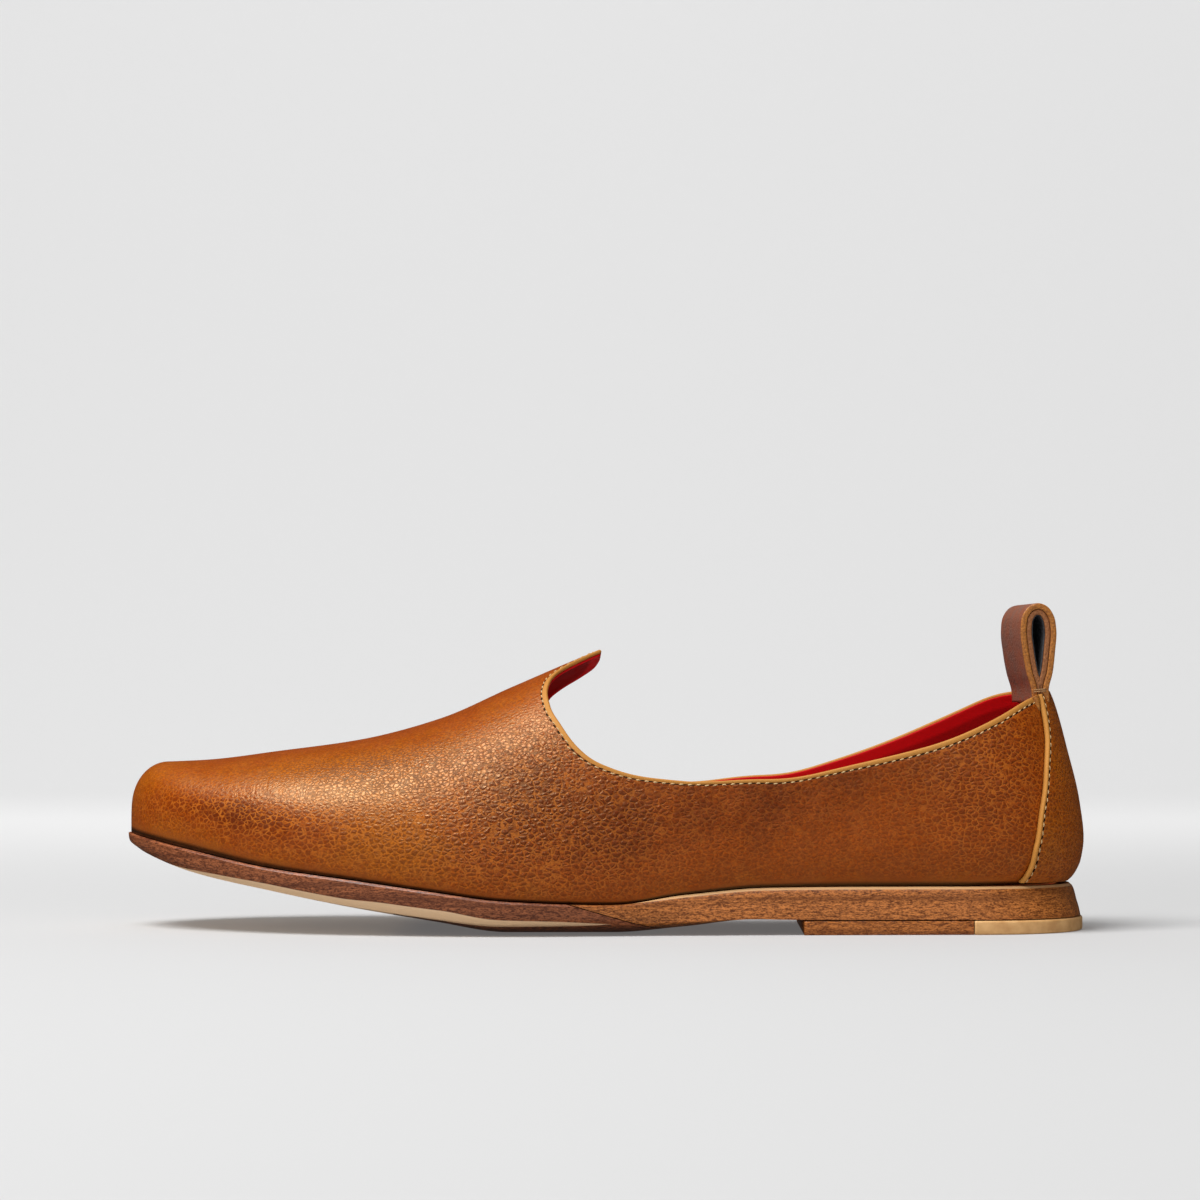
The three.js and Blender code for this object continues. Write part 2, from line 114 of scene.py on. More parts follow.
# %% Sections of the last, in millimetres
SECTION_ROWS = {
    "x": (-148, -125, -100, -75, -50, -28, 4, 25, 50, 75, 100, 125, 148),
    "axis": (7.2, 6.8, 4.8, 2.2, -0.8, -3.5, -5.9, -6.2, -5.2, -3.8, -2.2, -1.2, -1.2),
    "half": (37.0, 40.0, 44.0, 47.5, 48.5, 46.5, 39.8, 36.0, 34.0, 33.5, 33.5, 33.5, 33.5),
    "feather": (29.6, 25.0, 20.2, 17.0, 13.6, 10.8, 9.6, 12.3, 14.3, 14.5, 14.5, 14.5, 14.5),
    "ridge": (50.6, 51.5, 54.5, 58.0, 64.6, 74.2, 87.6, 95.0, 101.0, 102.0, 101.0, 99.0, 98.0),
    "margin": (2.2, 2.5, 2.6, 2.6, 2.6, 2.7, 3.0, 3.3, 3.8, 4.2, 4.5, 4.5, 4.5),
    "belly": (0.8, 1.0, 1.0, 1.0, 1.0, 1.0, 1.5, 2.4, 3.0, 3.4, 3.6, 3.6, 3.6),
    "belly_up": (3, 8, 8, 8, 9, 10, 11, 12, 13, 13, 13, 13, 13),
    "full": (0.05, 0.06, 0.05, 0.04, 0.02, 0, 0, 0, 0, 0, 0, 0, 0),
    "under": (25.5, 17.6, 12.2, 7.3, 3.2, 0.0, 0.0, 1.8, 4.5, 4.5, 4.5, 4.5, 4.5),
    "camber": (0.0, 0.5, 1.0, 1.6, 2.4, 3.6, 3.5, 2.4, 0.3, 0.0, 0.0, 0.0, 0.0),
}
section = {name: curve_through(SECTION_ROWS["x"], row) for name, row in SECTION_ROWS.items()}
heel_back = curve_through((14.5, 18, 22, 28, 39, 55, 69, 75), (0, 3.6, 5.4, 6.2, 5.0, 1.3, -2.5, -5.0))

TOE_X, SOLE_HEEL_X = -148.0, 147.0
UPPER_TOE_X, UPPER_HEEL_X = -147.2, 140.2
TOE_ROUND, HEEL_ROUND, HEEL_SQUARENESS = 60.0, 36.0, 2.2
TOE_ROLL, TOE_DROP = 11.0, 14.0
HEEL_BACK_FROM = 70.0
CURL, CURL_SPAN = math.radians(65), math.radians(20)
FEATHER_FALL = math.pi / 2 + CURL_SPAN
OUTER, INNER = -1, 1
print("rows of sections:", len(SECTION_ROWS["x"]))

# %% [markdown]
# A point of the last is found from two shares: how far it lies from toe to heel, and how far up it lies
# from the feather line to the ridge. Both ends of the outline are rounded off along ellipses.

# %% Points of the last


def end_round(x, toe, heel):
    """1 along the middle of an outline, falling to 0 at either end along an ellipse."""
    toe_reach = np.clip((toe + TOE_ROUND - x) / TOE_ROUND, 0, 1)
    heel_reach = np.clip((x - heel + HEEL_ROUND) / HEEL_ROUND, 0, 1)
    return np.sqrt(1 - toe_reach**2) * (1 - heel_reach**HEEL_SQUARENESS) ** (1 / HEEL_SQUARENESS)


def station_x(share, toe, heel):
    """Place along the shoe, with stations closer together towards both ends."""
    return toe + (heel - toe) * (1 - np.cos(np.pi * share)) / 2


def station_share(x, toe, heel):
    """The inverse of station_x."""
    return np.arccos(1 - 2 * (x - toe) / (heel - toe)) / np.pi


def ridge_height(x):
    """Top line of the last, rolled over at the toe by a quarter of an ellipse."""
    reach = np.clip((UPPER_TOE_X + TOE_ROLL - x) / TOE_ROLL, 0, 1)
    return section["ridge"](x) - TOE_DROP * (1 - np.sqrt(1 - reach * reach))


def last_point(share, rise, side):
    """A point of the last in mm. share runs from toe to heel, rise from the feather line to the ridge."""
    x = station_x(share, UPPER_TOE_X, UPPER_HEEL_X)
    fall = (1 - rise) * FEATHER_FALL
    widest = section["half"](x) - section["margin"](x) + section["belly"](x)
    feather = section["feather"](x)
    widest_z = feather + section["belly_up"](x)
    shoulder = 1 + section["full"](x) * np.sin(2 * fall) ** 2
    curl = (fall - np.pi / 2) * CURL / CURL_SPAN
    tuck = section["belly"](x) * (1 - np.cos(curl)) / (1 - math.cos(CURL))
    drop = (widest_z - feather) * np.sin(curl) / math.sin(CURL)
    above = fall <= np.pi / 2
    out = np.where(above, widest * np.sin(fall) * shoulder, widest - tuck)
    z = np.where(above, widest_z + (ridge_height(x) - widest_z) * np.cos(fall) * shoulder, widest_z - drop)
    lean = heel_back(z) * smoothstep(x, HEEL_BACK_FROM, UPPER_HEEL_X)
    y = section["axis"](x) + side * out * end_round(x, UPPER_TOE_X, UPPER_HEEL_X)
    return np.stack(np.broadcast_arrays(x + lean, y, z), axis=-1)


def rise_at_height(x, z):
    """How far up the section a height lies, above the widest line."""
    widest_z = section["feather"](x) + section["belly_up"](x)
    return 1 - np.arccos((z - widest_z) / (ridge_height(x) - widest_z)) / FEATHER_FALL


print("length of the last in mm:", UPPER_HEEL_X - UPPER_TOE_X)

# %% [markdown]
# ## The edge of the opening
# A mojari's opening rises to a pointed peak over the instep and dips low at the sides. The peak is drawn
# as an angle down from the ridge, the collar as heights on the outer and the inner side of the foot. Each
# half of the upper is then a four-sided patch between feather line, opening, centre line and back line.

# %% Opening and patch
TONGUE = {
    OUTER: {
        "x": (-0.5, -6, -12, -15.6, -16.4, -15.2, -11.6, -7.5, -2.4),
        "fall": (0, 5, 10, 18, 26, 36, 46, 54, 60),
    },
    INNER: {
        "x": (-0.5, -0.8, -2.4, -7, -12, -16.5, -18.1, -17, -13.4, -9.2, -3.8),
        "fall": (0, 10, 17.5, 21.5, 24, 28, 34, 41.5, 49.5, 56.5, 62),
    },
}
COLLAR = {
    "x": (3.5, 17, 30, 54, 74, 89, 103, 116, 125, 133, 140.2),
    OUTER: (50, 46.8, 45.7, 46.5, 50.5, 54, 57.8, 63, 67, 71, 73.4),
    INNER: (47.8, 44.9, 44.3, 46.6, 51.8, 57.2, 63, 68.3, 72, 73.4, 73.4),
}
EASE, EASE_STEPS = 0.022, 801
EASE_FROM, EASE_TO = (0.30, 0.42), (0.92, 0.99)


def eased(place, values):
    """A curve along the opening, averaged with bell-shaped weights along the collar, so that its edge bends
    evenly. The tongue and the back end stay as they are."""
    fine = np.linspace(0, 1, EASE_STEPS)
    exact = curve_through(place, values)(fine)
    reach = np.exp(-0.5 * ((fine[:, None] - fine[None, :]) / EASE) ** 2)
    even = reach @ exact / reach.sum(axis=1)
    weight = smoothstep(fine, *EASE_FROM) * (1 - smoothstep(fine, *EASE_TO))
    return curve_through(fine, exact + weight * (even - exact))


def opening_edge(side):
    """share and rise along the opening's edge, as curves of its length from the peak to the back line."""
    collar_x = np.array(COLLAR["x"], float)
    x = np.concatenate([TONGUE[side]["x"], collar_x])
    throat = 1 - np.radians(TONGUE[side]["fall"]) / FEATHER_FALL
    rise = np.concatenate([throat, rise_at_height(collar_x, np.array(COLLAR[side], float))])
    share = station_share(x, UPPER_TOE_X, UPPER_HEEL_X)
    steps = np.linalg.norm(np.diff(last_point(share, rise, side), axis=0), axis=1)
    place = np.concatenate([[0], np.cumsum(steps)]) / steps.sum()
    return eased(place, share), eased(place, rise)


opening = {side: opening_edge(side) for side in (OUTER, INNER)}
print("share of the length at the peak:", round(float(opening[OUTER][0](0.0)), 3))

# %% [markdown]
# The columns of the grid start at the back line, follow the outer side to the centre line over the toe,
# and come back along the inner side. Its rows rise from the feather line to the opening. So the whole
# skin is one grid that closes round the shoe.

# %% Grid over the upper
CENTRE_HOLD = 5
TOE_SHARE = 1 / 6


def upper_shares(u, v, side):
    """share and rise on half of the upper: straight lines from feather line to opening, bent by the centre
    line with a weight that fades with u."""
    edge_share, edge_rise = opening[side]
    tip = float(edge_share(0.0))
    on_front = v < TOE_SHARE
    centre_share = np.where(on_front, 0, tip * (v - TOE_SHARE) / (1 - TOE_SHARE))
    centre_rise = np.where(on_front, v / TOE_SHARE, 1)
    hold = (1 - u) ** CENTRE_HOLD
    share = u * (1 - v) + edge_share(u) * v + hold * (centre_share - v * tip)
    rise = v * edge_rise(u) + hold * (centre_rise - v)
    return np.clip(share, 0, 1), np.clip(rise, 0, 1)


SIDE_COLUMNS, WALL_ROWS = 280, 140
u_outer = np.linspace(1, 0, SIDE_COLUMNS, endpoint=False)[:, None]
u_inner = np.linspace(0, 1, SIDE_COLUMNS, endpoint=False)[:, None]
v_line = np.linspace(0, 1, WALL_ROWS + 1)[None, :]
halves = [upper_shares(u_outer, v_line, OUTER), upper_shares(u_inner, v_line, INNER)]
share_grid = np.concatenate([halves[0][0], halves[1][0]])
rise_grid = np.concatenate([halves[0][1], halves[1][1]])
side_grid = np.repeat([OUTER, INNER], SIDE_COLUMNS)[:, None]
skin = last_point(share_grid, rise_grid, side_grid)
skin_x = station_x(share_grid, UPPER_TOE_X, UPPER_HEEL_X)
skin_fall = np.degrees((1 - rise_grid) * FEATHER_FALL)
print("skin of the last:", skin.shape, "from", skin.min((0, 1)).round(1), "to", skin.max((0, 1)).round(1))


def ring_normals(grid):
    """Outward unit normals of a grid whose columns close round the shoe: rows crossed with columns."""
    along = np.roll(grid, -1, axis=0) - np.roll(grid, 1, axis=0)
    return unit(np.cross(np.gradient(grid, axis=1), along))


def length_from_top(grid):
    """Length along each column from its top row down, in mm."""
    steps = np.linalg.norm(np.diff(grid, axis=1), axis=2)
    down = np.cumsum(steps[:, ::-1], axis=1)[:, ::-1]
    return np.concatenate([down, np.zeros((len(grid), 1))], axis=1)


def length_from_foot(grid):
    """Length along each column from its bottom row up, in mm."""
    steps = np.linalg.norm(np.diff(grid, axis=1), axis=2)
    return np.concatenate([np.zeros((len(grid), 1)), np.cumsum(steps, axis=1)], axis=1)


# %% [markdown]
# ## From grids to meshes
# Every piece below is a grid of points. One function turns a grid into a mesh: it welds points that
# coincide, so poles and seams close, turns a quad with two equal corners into a triangle, and stores
# extra numbers per point as attributes that the materials read.

# %% Meshes from grids


def grid_quads(columns, rows, wrap_columns, wrap_rows):
    """Corner numbers of the quads of a grid, closed round in either direction."""
    i = np.arange(columns if wrap_columns else columns - 1)[:, None]
    j = np.arange(rows if wrap_rows else rows - 1)[None, :]
    i_next, j_next = (i + 1) % columns, (j + 1) % rows
    corners = [i * rows + j, i_next * rows + j, i_next * rows + j_next, i * rows + j_next]
    return np.stack([np.broadcast_to(c, (i.size, j.size)).ravel() for c in corners], axis=1)


def face_out(mesh):
    """Turns the faces round if the enclosed volume comes out negative."""
    mesh.calc_loop_triangles()
    place = np.empty(len(mesh.vertices) * 3, np.float32)
    mesh.vertices.foreach_get("co", place)
    corner = np.empty(len(mesh.loop_triangles) * 3, np.int32)
    mesh.loop_triangles.foreach_get("vertices", corner)
    a, b, c = place.reshape(-1, 3)[corner.reshape(-1, 3)].transpose(1, 0, 2).astype(float)
    if np.einsum("ij,ij->", a, np.cross(b, c)) < 0:
        mesh.flip_normals()


def mesh_object(name, points, quads, fields=None):
    """An object from points in mm and quads of point numbers, welded at a thousandth of a millimetre."""
    keys = np.round(points * 1000).astype(np.int64)
    _, first, number = np.unique(keys, axis=0, return_index=True, return_inverse=True)
    quads = number.ravel()[quads]
    same = quads == np.roll(quads, -1, axis=1)
    whole = quads[same.sum(1) == 0]
    folded = quads[same.sum(1) == 1]
    keep = ~same[same.sum(1) == 1]
    triangles = folded[keep].reshape(-1, 3)
    mesh = bpy.data.meshes.new(name)
    mesh.from_pydata((points[first] * MM).tolist(), [], whole.tolist() + triangles.tolist())
    mesh.shade_smooth()
    for field, values in (fields or {}).items():
        layer = mesh.attributes.new(field, "FLOAT", "POINT")
        layer.data.foreach_set("value", np.asarray(values, np.float32).ravel()[first])
    face_out(mesh)
    piece = bpy.data.objects.new(name, mesh)
    bpy.context.scene.collection.objects.link(piece)
    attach(piece, "root")
    print(name, "faces:", len(mesh.polygons))
    return piece


def grid_object(name, grid, wrap_columns=False, wrap_rows=False, fields=None):
    """One closed or open grid as an object."""
    columns, rows = grid.shape[:2]
    return mesh_object(name, grid.reshape(-1, 3), grid_quads(columns, rows, wrap_columns, wrap_rows), fields)


def closed_ends(grid):
    """The grid with its first and last column each drawn together to a point."""
    ends = grid[[0, -1]].mean(axis=1, keepdims=True) + 0 * grid[[0, -1]]
    return np.concatenate([ends[:1], grid, ends[1:]])


print("quads of a closed ring of 5 by 3 points:", len(grid_quads(5, 3, True, False)))


# %% [markdown]
# ## Creases
# Leather that has been walked in, or only pulled over a last, keeps soft folds where it bends: across the
# ball, and in short strokes behind the toe. Each is given as a line on the last, from one place along the
# shoe and angle from the ridge to another, and lowers the skin in a soft trough with a low ridge beside it.

# %% Creases of the vamp
CREASES = (
    # x and fall at the start, x and fall at the end, depth and half width in mm
    (-66, 36, -62, 58, 0.10, 0.9),
    (-61, 32, -57, 60, 0.13, 1.0),
    (-56, 36, -54, 56, 0.11, 0.9),
    (-50, 40, -49, 60, 0.09, 0.9),
    (-71, 42, -68, 58, 0.08, 0.9),
    (-44, 44, -43, 62, 0.08, 1.0),
    (-104, 48, -101, 62, 0.10, 0.9),
    (-99, 52, -97, 62, 0.07, 0.8),
    (-34, 60, -30, 82, 0.10, 1.4),
    (-24, 62, -22, 80, 0.08, 1.4),
    (20, 74, 30, 92, 0.10, 1.8),
    (36, 78, 42, 94, 0.08, 1.8),
)
DEGREE_MM = 0.7
RIDGE_SHARE, RIDGE_WIDTH = 0.45, 2.2
WAVE, WAVES = 0.5, 4
FADE_IN, FADE_OUT = (-0.15, 0.35), (0.65, 1.15)


def crease_relief(x, fall):
    """Height in mm of all creases: a wide low bell minus a narrow deep one across each wavy line, faded at
    its ends. One degree of fall counts as DEGREE_MM."""
    relief = np.zeros_like(x)
    for x0, fall0, x1, fall1, depth, half in CREASES:
        run = np.array([x1 - x0, (fall1 - fall0) * DEGREE_MM])
        length = np.linalg.norm(run)
        along = ((x - x0) * run[0] + (fall - fall0) * DEGREE_MM * run[1]) / length**2
        across = ((x - x0) * run[1] - (fall - fall0) * DEGREE_MM * run[0]) / length
        across = across + WAVE * np.sin(along * WAVES + x0)
        fade = smoothstep(along, *FADE_IN) * (1 - smoothstep(along, *FADE_OUT))
        ridge = RIDGE_SHARE * np.exp(-((across / (RIDGE_WIDTH * half)) ** 2))
        relief += depth * fade * (ridge - np.exp(-((across / half) ** 2)))
    return relief


print("creases:", len(CREASES))

# %% [markdown]
# ## Upper
# The upper is one skin of grained leather about 1.2 mm thick, with its edge turned and rounded at the
# opening. The wall is built as a closed ring: up the outside, over a half-round edge, and down the
# inside. A line of stitching pulls a shallow groove 1.5 mm from the edge.

# %% Upper wall
LEATHER = 1.2
STITCH_IN = 1.5
ROLL_ROWS = 9
EDGE_FADE = 8.0
GROOVE_DEPTH, GROOVE_WIDTH = 0.16, 0.45
SWELL, SWELL_WIDTH = 0.08, 0.5
INNER_STEP = 10

skin_normal = ring_normals(skin)
edge_mm = length_from_top(skin)
foot_mm = length_from_foot(skin)
up_tangent = unit(np.gradient(skin, axis=1))
groove = -GROOVE_DEPTH * np.exp(-(((edge_mm - STITCH_IN) / GROOVE_WIDTH) ** 2))
band_swell = SWELL * np.exp(-(((edge_mm - SWELL_WIDTH) / SWELL_WIDTH) ** 2))
relief = crease_relief(skin_x, skin_fall) + groove + band_swell
pull_back = np.clip(1 - edge_mm / EDGE_FADE, 0, 1)[..., None]


def wall_ring(out, thick, top_gap):
    """A closed ring of rows in three parts: outer face, half-round top edge, inner face. out is the outer
    face's distance from the skin, top_gap how far its edge stays below the skin's."""
    radius = thick / 2
    outer = skin + skin_normal * out[..., None] - up_tangent * pull_back * (top_gap + radius)
    turn = np.linspace(0, np.pi, ROLL_ROWS)[None, 1:, None]
    normal, tangent = skin_normal[:, -1:], up_tangent[:, -1:]
    roll = outer[:, -1:] + normal * radius * (np.cos(turn) - 1) + tangent * radius * np.sin(turn)
    inner = (outer - skin_normal * thick)[:, ::-1][:, INNER_STEP::INNER_STEP]
    return outer, roll, inner


def ring_field(values, inside_value):
    """A field on the outer rows, carried over the edge and down the inside as one value."""
    rest = np.full((len(values), upper_grid.shape[1] - values.shape[1]), inside_value)
    return np.concatenate([values, rest], axis=1)


leather_parts = wall_ring(relief, LEATHER, 0.0)
outer_face = leather_parts[0]
upper_grid = np.concatenate(leather_parts, axis=1)
print("upper wall grid:", upper_grid.shape[:2], "crease depth in mm:", relief.min().round(2))

# %% [markdown]
# The colour of pull-up leather is uneven: it lightens where it is stretched over the toe and along edges,
# and stays dark and red where wax collects, at the ball, in the waist and low on the toe. Soft patches
# placed on the last give each point a tone. Other sets say where the golden lines of the grain, the
# milled pebbles, the fine pebbles and the flex wrinkles stand out.

# %% Tone and grain of the upper
TONE_PATCHES = (
    # place along the shoe, angle from the ridge, their half sizes in mm and degrees, amount (plus is darker)
    (-112, 74, 22, 14, 0.55),
    (-92, 84, 18, 10, 0.25),
    (-24, 70, 24, 24, 0.52),
    (-58, 86, 26, 14, -0.36),
    (10, 80, 20, 18, 0.38),
    (48, 70, 30, 30, 0.46),
    (88, 66, 26, 30, 0.34),
    (118, 64, 20, 34, 0.24),
    (-78, 44, 34, 16, -0.30),
    (-140, 30, 14, 50, -0.12),
    # This row darkens the top along the ridge: painted shade against the light that falls strongest there.
    (-70, 10, 60, 14, 0.16),
)
GRAIN_PATCHES = (
    (-112, 74, 28, 18, 0.68),
    (-22, 74, 44, 30, 0.50),
    (-75, 80, 28, 20, 0.30),
    (118, 66, 24, 34, 0.45),
)
# Where the fine pebbles stand out, most on the vamp's side; there their creases also get the most painted
# shade.
PEBBLE_PATCHES = (
    (-62, 50, 38, 17, 0.75),
    (-18, 56, 16, 16, 0.45),
    (-30, 78, 30, 20, 0.25),
)
MILLED_PATCHES = (
    (-14, 74, 34, 30, 0.85),
    (50, 72, 34, 30, 0.35),
    (118, 66, 26, 34, 0.55),
    (-62, 84, 34, 14, 0.30),
)
FLEX_PATCHES = (
    (-60, 46, 16, 15, 1.0),
    (-102, 56, 10, 12, 0.6),
)


def patches(rows, start):
    """A field on the skin: a start value plus soft bell-shaped patches."""
    field = np.full_like(skin_x, start)
    for x, fall, x_size, fall_size, amount in rows:
        reach = ((skin_x - x) / x_size) ** 2 + ((skin_fall - fall) / fall_size) ** 2
        field += amount * np.exp(-reach)
    return np.clip(field, 0, 1)


tone = patches(TONE_PATCHES, 0.30)
print("tone from", tone.min().round(2), "to", tone.max().round(2))

# %% [markdown]
# The material draws the needle holes, so each point also carries its distance from the edge and the
# number of stitches so far along the seam. With these fields the wall becomes one closed mesh.

# %% Seam and mesh of the upper
STITCH_PITCH = 2.6
FAR_FROM_FOOT = 99.0


def stitch_count(path, closed):
    """Stitches so far at each point of a seam line, and their whole number."""
    ahead = np.roll(path, -1, axis=0) if closed else np.concatenate([path[1:], path[-1:]])
    steps = np.linalg.norm(ahead - path, axis=1)
    count = round(steps.sum() / STITCH_PITCH)
    return (np.cumsum(steps) - steps) * count / steps.sum(), count


def at_edge_distance(surface, distance, wanted):
    """The point of each column that lies a wanted distance from the edge."""
    row = np.argmin(np.abs(distance - wanted), axis=1)
    return np.take_along_axis(surface, row[:, None, None], axis=1)[:, 0]


seam = at_edge_distance(outer_face, edge_mm, STITCH_IN)
seam_normal = at_edge_distance(skin_normal, edge_mm, STITCH_IN)
seam_phase, seam_count = stitch_count(seam, True)
upper_fields = {
    "tone": ring_field(tone, 0.3),
    "grain": ring_field(patches(GRAIN_PATCHES, 0.20), 0.0),
    "flex": ring_field(patches(FLEX_PATCHES, 0.0), 0.0),
    "milled": ring_field(patches(MILLED_PATCHES, 0.18), 0.0),
    "pebble": ring_field(patches(PEBBLE_PATCHES, 0.36), 0.0),
    "edge": ring_field(edge_mm, 0.0),
    "foot": ring_field(foot_mm, FAR_FROM_FOOT),
    "seam": ring_field(seam_phase[:, None] + 0 * edge_mm, 0.0),
}
upper = grid_object("upper_leather", upper_grid, True, True, upper_fields)
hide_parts("upper")

# %% [markdown]
# ## Lining
# Inside, the leather is backed with a thin red lining that stops just below the turned edge. It is the
# same ring at a smaller offset. Only its inner face shows, so every second column is enough.

# %% Lining
LINING, LINING_GAP, LINING_BELOW = 0.62, 0.06, 0.55
lining_out = np.full_like(edge_mm, -LEATHER - LINING_GAP)
lining_outer, lining_roll, _ = wall_ring(lining_out, LINING, LINING_BELOW)
lining_inner = (lining_outer - skin_normal * LINING)[:, ::-1][:, 2::2]
lining_grid = np.concatenate([lining_outer[:, ::INNER_STEP], lining_roll, lining_inner], axis=1)
edge_rows = (edge_mm[:, ::INNER_STEP], 0 * lining_roll[..., 0], edge_mm[:, ::-1][:, 2::2])
lining_edge = np.concatenate(edge_rows, axis=1)
lining = grid_object("lining", lining_grid[::2], True, True, {"edge": lining_edge[::2]})

# %% [markdown]
# ## Thread
# A stitch is a short length of waxed thread lying on the leather, with both ends diving into holes. One
# small capsule is worked out once and copied to every place along a seam line as one joined mesh.

# %% Stitches
STITCH_LENGTH, THREAD = 1.5, 0.38
STITCH_LIFT, STITCH_SUNK, THREAD_FLAT = 0.22, 0.10, 0.8
CAPSULE_STEPS, CAPSULE_ROUND = 9, 8
AHEAD = 0.4


def resample(path, normals, count, closed):
    """The middles of a number of equal lengths of a line, with their directions and normals."""
    if closed:
        path = np.concatenate([path, path[:1]])
        normals = np.concatenate([normals, normals[:1]])
    place = np.concatenate([[0], np.cumsum(np.linalg.norm(np.diff(path, axis=0), axis=1))])
    wanted = (np.arange(count) + 0.5) * place[-1] / count

    def pick(table, at):
        return np.stack([np.interp(at, place, table[:, k]) for k in range(3)], axis=1)

    ahead = pick(path, wanted + AHEAD) - pick(path, wanted - AHEAD)
    return pick(path, wanted), unit(ahead), unit(pick(normals, wanted))


def capsule(length):
    """A stitch along x: flattened round sections that shrink and dip towards both ends."""
    s = np.linspace(-1, 1, CAPSULE_STEPS)[:, None]
    turn = np.linspace(0, 2 * np.pi, CAPSULE_ROUND, endpoint=False)[None, :]
    radius = THREAD / 2 * np.sqrt(np.clip(1 - s**4, 0, 1))
    x = s * length / 2 + 0 * turn
    y = radius * np.cos(turn)
    z = radius * THREAD_FLAT * np.sin(turn) + STITCH_LIFT * (1 - s**2) - STITCH_SUNK
    return np.stack([x, y, z], axis=-1)


def stitch_row(name, path, normals, count, length=STITCH_LENGTH, slant=8.0, closed=False):
    """Copies of one capsule along a line: its x follows the seam, slanted a little, its z the normal."""
    points, ahead, up = resample(path, normals, count, closed)
    beside = unit(np.cross(up, ahead))
    angle = math.radians(slant)
    first = ahead * math.cos(angle) + beside * math.sin(angle)
    second = beside * math.cos(angle) - ahead * math.sin(angle)
    shape = capsule(length)
    columns, rows = shape.shape[:2]
    flat = shape.reshape(-1, 3)
    frames = np.stack([first, second, up], axis=1)
    copies = points[:, None, :] + np.einsum("mk,nkc->nmc", flat, frames)
    quads = grid_quads(columns, rows, False, True)
    starts = (np.arange(len(points)) * len(flat))[:, None, None]
    return mesh_object(name, copies.reshape(-1, 3), (quads[None] + starts).reshape(-1, 4))


threads = [stitch_row("topline_stitches", seam, seam_normal, seam_count, closed=True)]

# %% [markdown]
# ## Counter
# The counter is a strip sewn over the back seam. It is a patch of the same skin lifted by its thickness,
# with a rim that rounds down to nothing at its borders, so its outer and inner faces weld into one closed
# pad.

# %% Counter strip
counter_front = curve_through((0, 0.28, 0.42, 0.62, 0.8, 1), (124.2, 124.6, 126.1, 130.3, 134.2, 136))
COUNTER_FOOT, COUNTER_HEAD = 0.03, 0.99
END_CLOSENESS = 0.75
collar_height = {side: curve_through(COLLAR["x"], COLLAR[side]) for side in (OUTER, INNER)}


def counter_half(u, v, side):
    """Points of one half of the strip, from its front edge (u = 0) to the back line (u = 1)."""
    front = counter_front(v)
    x = front + (UPPER_HEEL_X - front) * np.sin(u * np.pi / 2)
    top = rise_at_height(x, collar_height[side](x))
    rise = COUNTER_FOOT + (COUNTER_HEAD * top - COUNTER_FOOT) * v
    return last_point(station_share(x, UPPER_TOE_X, UPPER_HEEL_X), rise, side)


def patch_normals(grid):
    """Outward unit normals of an open patch."""
    return unit(np.cross(np.gradient(grid, axis=0), np.gradient(grid, axis=1)))


def border_distance(grid):
    """Length to the nearest border of a patch, in mm."""
    across = np.linalg.norm(np.diff(grid, axis=0), axis=2)
    ahead = np.concatenate([np.zeros((1, grid.shape[1])), np.cumsum(across, axis=0)])
    behind = ahead[-1:] - ahead
    return np.minimum(np.minimum(ahead, behind), np.minimum(length_from_top(grid), length_from_foot(grid)))


def edge_spaced(count):
    """Shares from 0 to 1, closer together near both ends."""
    t = np.linspace(0, 1, count)
    return t - END_CLOSENESS * np.sin(2 * np.pi * t) / (2 * np.pi)


print("counter's front edge at foot and head in mm:", counter_front(np.array([0.0, 1.0])))

# %% [markdown]
# The strip's edge rounds down like a quarter of a circle. A seam runs down each front edge, and its
# thread pulls a groove into the strip.

# %% Counter mesh and its seams
COUNTER_GAP, COUNTER_WALL, COUNTER_RIM = 0.35, 1.35, 0.7
COUNTER_COLUMNS, COUNTER_ROWS, COLUMN_BIAS = 110, 130, 1.35
COUNTER_GROOVE, COUNTER_ABOVE_FOOT = 0.18, 2.0

half_columns = COUNTER_COLUMNS // 2
u_half = np.linspace(0, 1, half_columns) ** COLUMN_BIAS
v_strip = edge_spaced(COUNTER_ROWS)[None, :]
outer_half = counter_half(u_half[:, None], v_strip, OUTER)
inner_half = counter_half(u_half[::-1][1:, None], v_strip, INNER)
strip = np.concatenate([outer_half, inner_half])
strip_normal = patch_normals(strip)
strip_edge = border_distance(strip)
rim = np.sqrt(1 - (1 - np.clip(strip_edge / COUNTER_RIM, 0, 1)) ** 2)
turned = strip.transpose(1, 0, 2)
front_mm = np.minimum(length_from_foot(turned), length_from_top(turned)).T
strip_groove = -COUNTER_GROOVE * np.exp(-(((front_mm - STITCH_IN) / GROOVE_WIDTH) ** 2))
strip_lift = COUNTER_GAP + COUNTER_WALL * rim + strip_groove * (strip_edge > 1)
strip_outer = strip + strip_normal * strip_lift[..., None]
strip_inner = strip + strip_normal * COUNTER_GAP
counter_grid = np.concatenate([strip_outer, strip_inner[:, ::-1]], axis=1)
seam_rows = slice(4, -4)
counter_phase = np.zeros_like(front_mm)
for label, part in (("outer", slice(0, half_columns)), ("inner", slice(half_columns - 1, None))):
    distance = front_mm[part].T
    line = at_edge_distance(strip_outer[part].transpose(1, 0, 2), distance, STITCH_IN)[seam_rows]
    line_normal = at_edge_distance(strip_normal[part].transpose(1, 0, 2), distance, STITCH_IN)[seam_rows]
    phase, count = stitch_count(line, False)
    counter_phase[part, seam_rows] = phase[None, :]
    threads.append(stitch_row(f"counter_stitches_{label}", line, line_normal, count))


def both_faces(outer_value):
    """A field on the strip's outer face, zero on its hidden face."""
    return np.concatenate([outer_value + 0 * front_mm, 0 * front_mm], axis=1)


